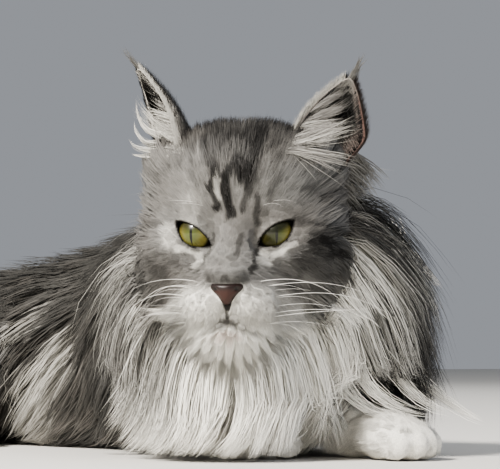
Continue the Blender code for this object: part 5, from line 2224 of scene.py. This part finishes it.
@dataclass(frozen=True)
class EyeFinish:
    """A cat's eye: yellow-green iris with radial fibres under a clear, wet cornea, and painted lid
    shade.
    """

    name: str = "wet_yellow_green_eye"
    inner: str = "#4E5529"
    outer: str = "#6E6733"
    fibre: str = "#444A22"
    lid_shade: str = "#14150A"
    limbus: str = "#15110C"
    pupil: str = "#050505"
    iris_mm: float = 9.6
    slit_mm: tuple = (0.75, 6.6)
    fibre_scale: tuple = (14.0, 1.2, 1.0)

    def material(self) -> bpy.types.Material:
        """Builds the material from places on the iris."""
        material, nodes = new_material(self.name)
        iris = nodes.stored("iris", "Vector")
        radius, angle, slit = nodes.add("ShaderNodeSeparateXYZ", {0: iris}).outputs
        inputs = {0: nodes.vector(angle, radius, 0), 1: self.fibre_scale}
        squeezed = nodes.add("ShaderNodeVectorMath", inputs, operation="MULTIPLY")
        colour = linear(self.inner)
        for value, taken, shade in (
            (radius, (0.2, 0.85), self.outer),
            (nodes.noise(squeezed.outputs[0], 1, 4), (0.45, 0.8), self.fibre),
            (radius, (0.82, 1.0), self.limbus),
            (slit, (1.12, 0.95), self.pupil),
            # painted shade from the upper lid and the brow
            (nodes.stored("lid"), (0.0, 1.35), self.lid_shade),
        ):
            share = nodes.ranged(value, taken, kind="SMOOTHSTEP")
            colour = nodes.mixed(share, colour, linear(shade))
        surface = {"Base Color": colour, "Roughness": 0.35, "IOR": 1.376}
        nodes.surface(surface | {"Coat Weight": 0.5, "Coat Roughness": 0.03})
        return material


@dataclass(frozen=True)
class Eye:
    """An eyeball with its cornea's bulge, its poles on its line of sight, and painted lid shade.
    """

    form: CatForm
    side: int
    shaded: float = 0.0
    segments: int = 72
    rings: int = 60
    bulge: float = 0.7
    bulge_angle: float = 46.0

    def build(self, material: bpy.types.Material) -> bpy.types.Object:
        """Makes the eye.

        Args:
            material: The material of both eyes.

        Returns:
            The piece.
        """
        lids, finish = self.form.lids, EyeFinish()
        mirror = np.array([self.side, 1, 1])
        look = lids.look() * mirror
        across = np.cross(look, UP)
        centre = np.array(lids.eye) * mirror
        lean = np.linspace(0, math.pi, self.rings + 1)[1:-1]
        turn = np.linspace(0, math.tau, self.segments, endpoint=False)
        lean, turn = (grid.ravel() for grid in np.meshgrid(lean, turn, indexing="ij"))
        lean = np.concatenate([[0], lean, [math.pi]])
        turn = np.concatenate([[0], turn, [0]])
        radius = lids.radius + self.bulge * smooth_step(np.degrees(lean), self.bulge_angle, 0)
        flat = np.outer(np.cos(turn), across) + np.outer(np.sin(turn), UP)
        ball = np.outer(np.cos(lean), look) + flat * np.sin(lean)[:, None]
        points = centre + radius[:, None] * ball
        faces = []
        for step in range(self.segments):
            after = (step + 1) % self.segments
            faces.append((0, 1 + step, 1 + after))
            for ring in range(self.rings - 2):
                a, b = 1 + ring * self.segments, 1 + (ring + 1) * self.segments
                faces.append((a + step, b + step, b + after, a + after))
            a = 1 + (self.rings - 2) * self.segments
            faces.append((a + step, len(points) - 1, a + after))
        name = "eye_left" if self.side > 0 else "eye_right"
        made = facing_out(closed_piece(name + "_wet", self.form.place.out(points), faces))
        out = radius * np.sin(lean)
        x, y = out * np.cos(turn), out * np.sin(turn)
        wide, high = finish.slit_mm
        slit = np.abs(x) / (wide * np.clip(1 - (y / high) ** 2, 0.02, 1))
        slit = np.where(np.cos(lean) > 0, slit, 9)
        around = np.stack([out / finish.iris_mm, turn, np.minimum(slit, 9)], 1)
        around[np.cos(lean) < 0, 0] = 2
        add_attribute(made, "iris", "FLOAT_VECTOR", around)
        # Painted shade: darker towards the top of the iris under the upper lid, and by the shaded
        # share on its inner side.
        shade = smooth_step(y, -1.5, 5.5) + self.shaded * smooth_step(x * self.side, -9, 4)
        add_attribute(made, "lid", "FLOAT", np.minimum(shade, 1.2))
        made.data.materials.append(material)
        return made


@dataclass(frozen=True)
class WhiskerFinish:
    """Whiskers: stiff, clear white keratin, glossier than the coat."""

    name: str = "white_whisker"
    colour: str = "#F4F2EC"
    streak_scale: float = 120.0

    def material(self) -> bpy.types.Material:
        """Builds the material, a little darker in streaks along the hair."""
        material, nodes = new_material(self.name)
        level = nodes.ranged(nodes.noise(nodes.place(), self.streak_scale, 2), (0, 1), (0.8, 1))
        colour = nodes.lit(linear(self.colour), level)
        nodes.surface({"Base Color": colour, "Roughness": 0.35, "IOR": 1.55})
        return material


@dataclass(frozen=True)
class Whiskers:
    """The whiskers of the lip's pads and over the eyes, as tapered, drooping bristles."""

    form: CatForm
    thickness_mm: float = 0.15
    per_row: int = 3
    spacing: float = 4.4
    over_eye: int = 2
    fine_mm: tuple = (15.0, 60.0)
    thinnest: float = 0.35
    sharpest: float = 0.06
    seed: int = 8

    def roots(self) -> tuple[Array, Array, Array]:
        """Where the whiskers start, the way they leave the skin and how long they are."""
        rng = np.random.default_rng(self.seed)
        starts, ways, reaches = [], [], []
        for side in (-1, 1):
            sweep = 0.8 if side < 0 else 0.3
            for row, high in enumerate(WHISKER_ROWS):
                for number in range(self.per_row):
                    out = 14 + self.spacing * number + WHISKER_STAGGER * (row % 2)
                    starts.append((side * out, -40 + 0.5 * out, high + rng.normal(0, 0.4)))
                    rise = 0.2 - 0.13 * row + rng.normal(0, 0.17)
                    back = sweep + 0.1 * number + rng.normal(0, 0.08)
                    ways.append((side * 1.0, back, rise))
                    reaches.append(rng.uniform(24, 64) + 18 * (number == 1))
            for number in range(self.over_eye):
                starts.append((side * (17 + 5 * number), -12, 16 + 2.0 * number))
                ways.append((side * (0.35 + 0.3 * number), -0.25, 0.9 - 0.2 * number))
                reaches.append(rng.uniform(16, 26))
        starts = settled(lambda at: field_of(self.form.head, at), np.array(starts, float), 4)
        place = self.form.place
        return place.out(starts), unit(np.array(ways)) @ place.axes().T, np.array(reaches)

    def build(self, material: bpy.types.Material) -> bpy.types.Object:
        """Makes all whiskers one mesh with Geometry Nodes.

        Args:
            material: Their material.

        Returns:
            The piece.
        """
        starts, ways, reaches = self.roots()
        mesh = bpy.data.meshes.new("whiskers")
        mesh.from_pydata(in_metres(starts).tolist(), [], [])
        seeds = new_object("whisker_seeds", mesh)
        add_attribute(seeds, "heading", "FLOAT_VECTOR", ways)
        add_attribute(seeds, "reach", "FLOAT", reaches * MM)
        limp = np.random.default_rng(self.seed).uniform(-0.1, 0.45, len(reaches))
        add_attribute(seeds, "limp", "FLOAT", limp)
        step = seeds.modifiers.new("bristles", "NODES")
        step.node_group = self.tree(material)
        sockets = {s.name: s.identifier for s in step.node_group.interface.items_tree}
        step[sockets["Thickness"]] = self.thickness_mm * MM
        step[sockets["Droop"]] = 1.0
        made = new_object("whiskers", with_modifiers(seeds))
        bpy.data.objects.remove(seeds)
        return made

    def tree(self, material: bpy.types.Material) -> bpy.types.NodeTree:
        """The node tree that stands one tapered, bent bristle on each point.

        Args:
            material: The bristles' material.

        Returns:
            The tree.
        """
        tree = bpy.data.node_groups.new("whisker_bristles", "GeometryNodeTree")
        for name, kind in (("Geometry", "Geometry"), ("Thickness", "Float"), ("Droop", "Float")):
            tree.interface.new_socket(name, in_out="INPUT", socket_type="NodeSocket" + kind)
        tree.interface.new_socket("Geometry", in_out="OUTPUT", socket_type="NodeSocketGeometry")
        nodes = Nodes(tree)
        given = nodes.add("NodeGroupInput").outputs
        heading, reach, limp = (
            nodes.add("GeometryNodeInputNamedAttribute", {"Name": name}, data_type=kind).outputs[0]
            for name, kind in (("heading", "FLOAT_VECTOR"), ("reach", "FLOAT"), ("limp", "FLOAT"))
        )
        axes = {"axis": "X", "pivot_axis": "Z"}
        turn = nodes.add("FunctionNodeAlignRotationToVector", {"Vector": heading}, **axes)
        bow = {"Resolution": 14, "Start": (0, 0, 0), "Middle": (0.5, 0, 0.08), "End": (1, 0, 0)}
        curve = nodes.add("GeometryNodeCurveQuadraticBezier", bow)
        stand = {"Points": given["Geometry"], "Instance": curve.outputs[0], "Scale": reach}
        stood = nodes.add("GeometryNodeInstanceOnPoints", stand | {"Rotation": turn.outputs[0]})
        real = nodes.add("GeometryNodeRealizeInstances", {0: stood.outputs[0]})
        spline = nodes.add("GeometryNodeSplineParameter").outputs
        weight = nodes.math("MULTIPLY", spline["Length"], limp)
        sag = nodes.math("MULTIPLY", nodes.math("POWER", spline["Factor"], 2.0), weight)
        down = nodes.math("MULTIPLY", nodes.math("MULTIPLY", sag, given["Droop"]), -1.0)
        offset = {"Geometry": real.outputs[0], "Offset": nodes.vector(0, 0, down)}
        moved = nodes.add("GeometryNodeSetPosition", offset)
        taper = nodes.math("POWER", nodes.math("SUBTRACT", 1.0, spline["Factor"]), 0.8)
        kept = nodes.math("MAXIMUM", taper, self.sharpest)
        whole = nodes.add("GeometryNodeSplineLength").outputs["Length"]
        taken = tuple(length * MM for length in self.fine_mm)
        stout = nodes.ranged(whole, taken, (self.thinnest, 1.0))
        radius = nodes.math("MULTIPLY", kept, nodes.math("MULTIPLY", stout, given["Thickness"]))
        ring = nodes.add("GeometryNodeCurvePrimitiveCircle", {"Resolution": 6, "Radius": 1.0})
        sweep = {"Curve": moved.outputs[0], "Profile Curve": ring.outputs[0], "Scale": radius}
        solid = nodes.add("GeometryNodeCurveToMesh", sweep | {"Fill Caps": True})
        smooth = nodes.add("GeometryNodeSetShadeSmooth", {0: solid.outputs[0]})
        plain = nodes.add("GeometryNodeRealizeInstances", {0: smooth.outputs[0]})
        look = {"Geometry": plain.outputs[0], "Material": material}
        nodes.add("NodeGroupOutput", {0: nodes.add("GeometryNodeSetMaterial", look).outputs[0]})
        return tree


@dataclass(frozen=True)
class Studio:
    """A plain pale floor, soft light and the camera at the photograph's angle."""

    camera_at: tuple = (-0.7944, -1.1928, 0.060)
    camera_turn: float = -37.0
    lens: float = 152.9
    shift: float = 0.243
    floor_side: float = 12.0
    floor_colour: str = "#C9C7C2"
    sky_colour: str = "#C6CAD1"
    sky_strength: float = 0.5
    lamps: tuple = (
        ("key", (-2.25, -0.6, 2.1), 0.6, 240.0, "#FFFAF3"),
        ("fill", (1.2, -1.9, 0.9), 1.6, 18.0, "#E2EAFA"),
        ("front", (-1.3, -1.7, 0.3), 1.0, 24.0, "#FFF8EE"),
        ("rim", (0.9, 1.9, 1.9), 1.2, 26.0, "#FFFFFF"),
    )
    lit_middle: tuple = (0, -0.15, 0.1)

    def build(self) -> None:
        """Sets the stage."""
        self.floor()
        for lamp in self.lamps:
            self.lamp(*lamp)
        world = bpy.data.worlds.new("studio")
        world.use_nodes = True
        background = world.node_tree.nodes["Background"]
        background.inputs[0].default_value = linear(self.sky_colour)
        background.inputs[1].default_value = self.sky_strength
        bpy.context.scene.world = world
        self.camera()
        bpy.context.scene.view_settings.look = "AgX - Medium High Contrast"

    def floor(self) -> None:
        """Lays the floor: matt paper, pale enough to throw light up under the chin."""
        side = self.floor_side / 2
        corners = [(-side, -side, 0), (side, -side, 0), (side, side, 0), (-side, side, 0)]
        mesh = bpy.data.meshes.new("floor")
        mesh.from_pydata(corners, [], [(0, 1, 2, 3)])
        material, nodes = new_material("pale_matt_paper")
        nodes.surface({"Base Color": linear(self.floor_colour), "Roughness": 0.9})
        mesh.materials.append(material)
        new_object("floor", mesh)

    def lamp(self, name: str, at: tuple, size: float, power: float, colour: str) -> None:
        """Hangs a square lamp that faces the cat; only the key lamp shows in its eyes.

        Args:
            name: Its name.
            at: Where it hangs, in metres.
            size: Its side, in metres.
            power: Its power in watts.
            colour: The colour of its light.
        """
        light = bpy.data.lights.new(name, "AREA")
        light.size, light.energy = size, power
        light.color = linear(colour)[:3]
        lamp = new_object(name, light)
        lamp.location = at
        lamp.visible_glossy = name == "key"
        aim = Vector(self.lit_middle) - lamp.location
        lamp.rotation_euler = aim.to_track_quat("-Z", "Y").to_euler()

    def camera(self) -> None:
        """Sets up the camera, level, with its view shifted up."""
        camera = new_object("camera", bpy.data.cameras.new("camera"))
        camera.location = self.camera_at
        camera.rotation_euler = (math.radians(90), 0, math.radians(self.camera_turn))
        camera.data.lens = self.lens
        camera.data.sensor_width = 36.0
        camera.data.shift_y = self.shift
        bpy.context.scene.camera = camera


@dataclass(frozen=True)
class CoatPieces:
    """How the strands are shared out over pieces that each stay small enough."""

    most_triangles: int = 195_000
    shared_along: tuple = (0.8, -0.6, 0.2)

    def build(self, name: str, strands: Strands, material: bpy.types.Material, slot: str) -> int:
        """Makes the pieces of one part's coat.

        Args:
            name: What the pieces are called.
            strands: All the part's strands.
            material: Their material.
            slot: The record's material slot; not used.

        Returns:
            How many triangles they have.
        """
        each = len(hair_faces(strands.lines.shape[1] - 1))
        pieces = max(1, math.ceil(len(strands.lines) * each / self.most_triangles))
        order = np.argsort(strands.lines[:, 0] @ unit(np.array(self.shared_along)))
        for number, chosen in enumerate(np.array_split(order, pieces), start=1):
            label = f"{name}_{number}" if pieces > 1 else name
            made = strands.part(chosen).piece(label, material)
            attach(made, "root")
        return len(strands.lines) * each


FLESH_NODES = (
    "head", "ear_left", "ear_right", "neck", "torso", "foreleg_left", "foreleg_right",
    "hindleg_left", "hindleg_right", "tail_1", "tail_2", "tail_3", "tail_4",
)


def main() -> None:
    """Builds the cat's skin, coat, eyes, nose and whiskers, and the studio."""
    logging.basicConfig(level=logging.INFO, format="%(relativeCreated)d ms %(message)s")
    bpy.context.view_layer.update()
    form = CatForm()
    markings = Markings(form)
    skin = Skin(form, markings).build()
    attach(skin, "root")
    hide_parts(*FLESH_NODES)
    skin.data.calc_loop_triangles()
    LOG.info("skin: %d triangles", len(skin.data.loop_triangles))
    unwrap = Unwrap().build(skin)
    LOG.info("unwrap")
    coat = Coat(form, markings, Comb(form), unwrap)
    grown = coat.grow(skin)
    hair = HairFinish("satin_cat_hair").material()
    pieces = CoatPieces()
    total = 0
    for name, strands in grown.items():
        made = pieces.build("coat_" + name, strands, hair, GROWTHS[name].slot)
        LOG.info("coat %s: %d strands, %d triangles", name, len(strands.lines), made)
        total += made
    for ear, droop in ((LEFT_EAR, -0.05), (RIGHT_EAR, -0.35)):
        middle = form.place.out([ear.at(np.array(0.4), np.array(0.0), np.array(0.0))])
        grown = EarHair(ear, form.place, droop).build(map_places(unwrap, middle))
        for name, strands in grown.items():
            total += pieces.build(f"{ear.name}_{name}", strands, hair, SILVER)
    total += pieces.build("loose_locks", LooseLocks(form.place).strands(unwrap), hair, WHITE)
    LOG.info("coat: %d triangles", total)
    nose = Nose(form).build()
    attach(nose, "root")
    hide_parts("nose")
    iris = EyeFinish().material()
    # The left eye gets much more painted shade on its inner side than the right one.
    for side, shaded, node in ((1, 1.0, "eye_left"), (-1, 0.1, "eye_right")):
        eye = Eye(form, side, shaded).build(iris)
        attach(eye, "root")
        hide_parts(node)
    whiskers = Whiskers(form).build(WhiskerFinish().material())
    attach(whiskers, "root")
    LOG.info("nose, eyes and whiskers")
    Studio().build()


if __name__ == "__main__":
    main()
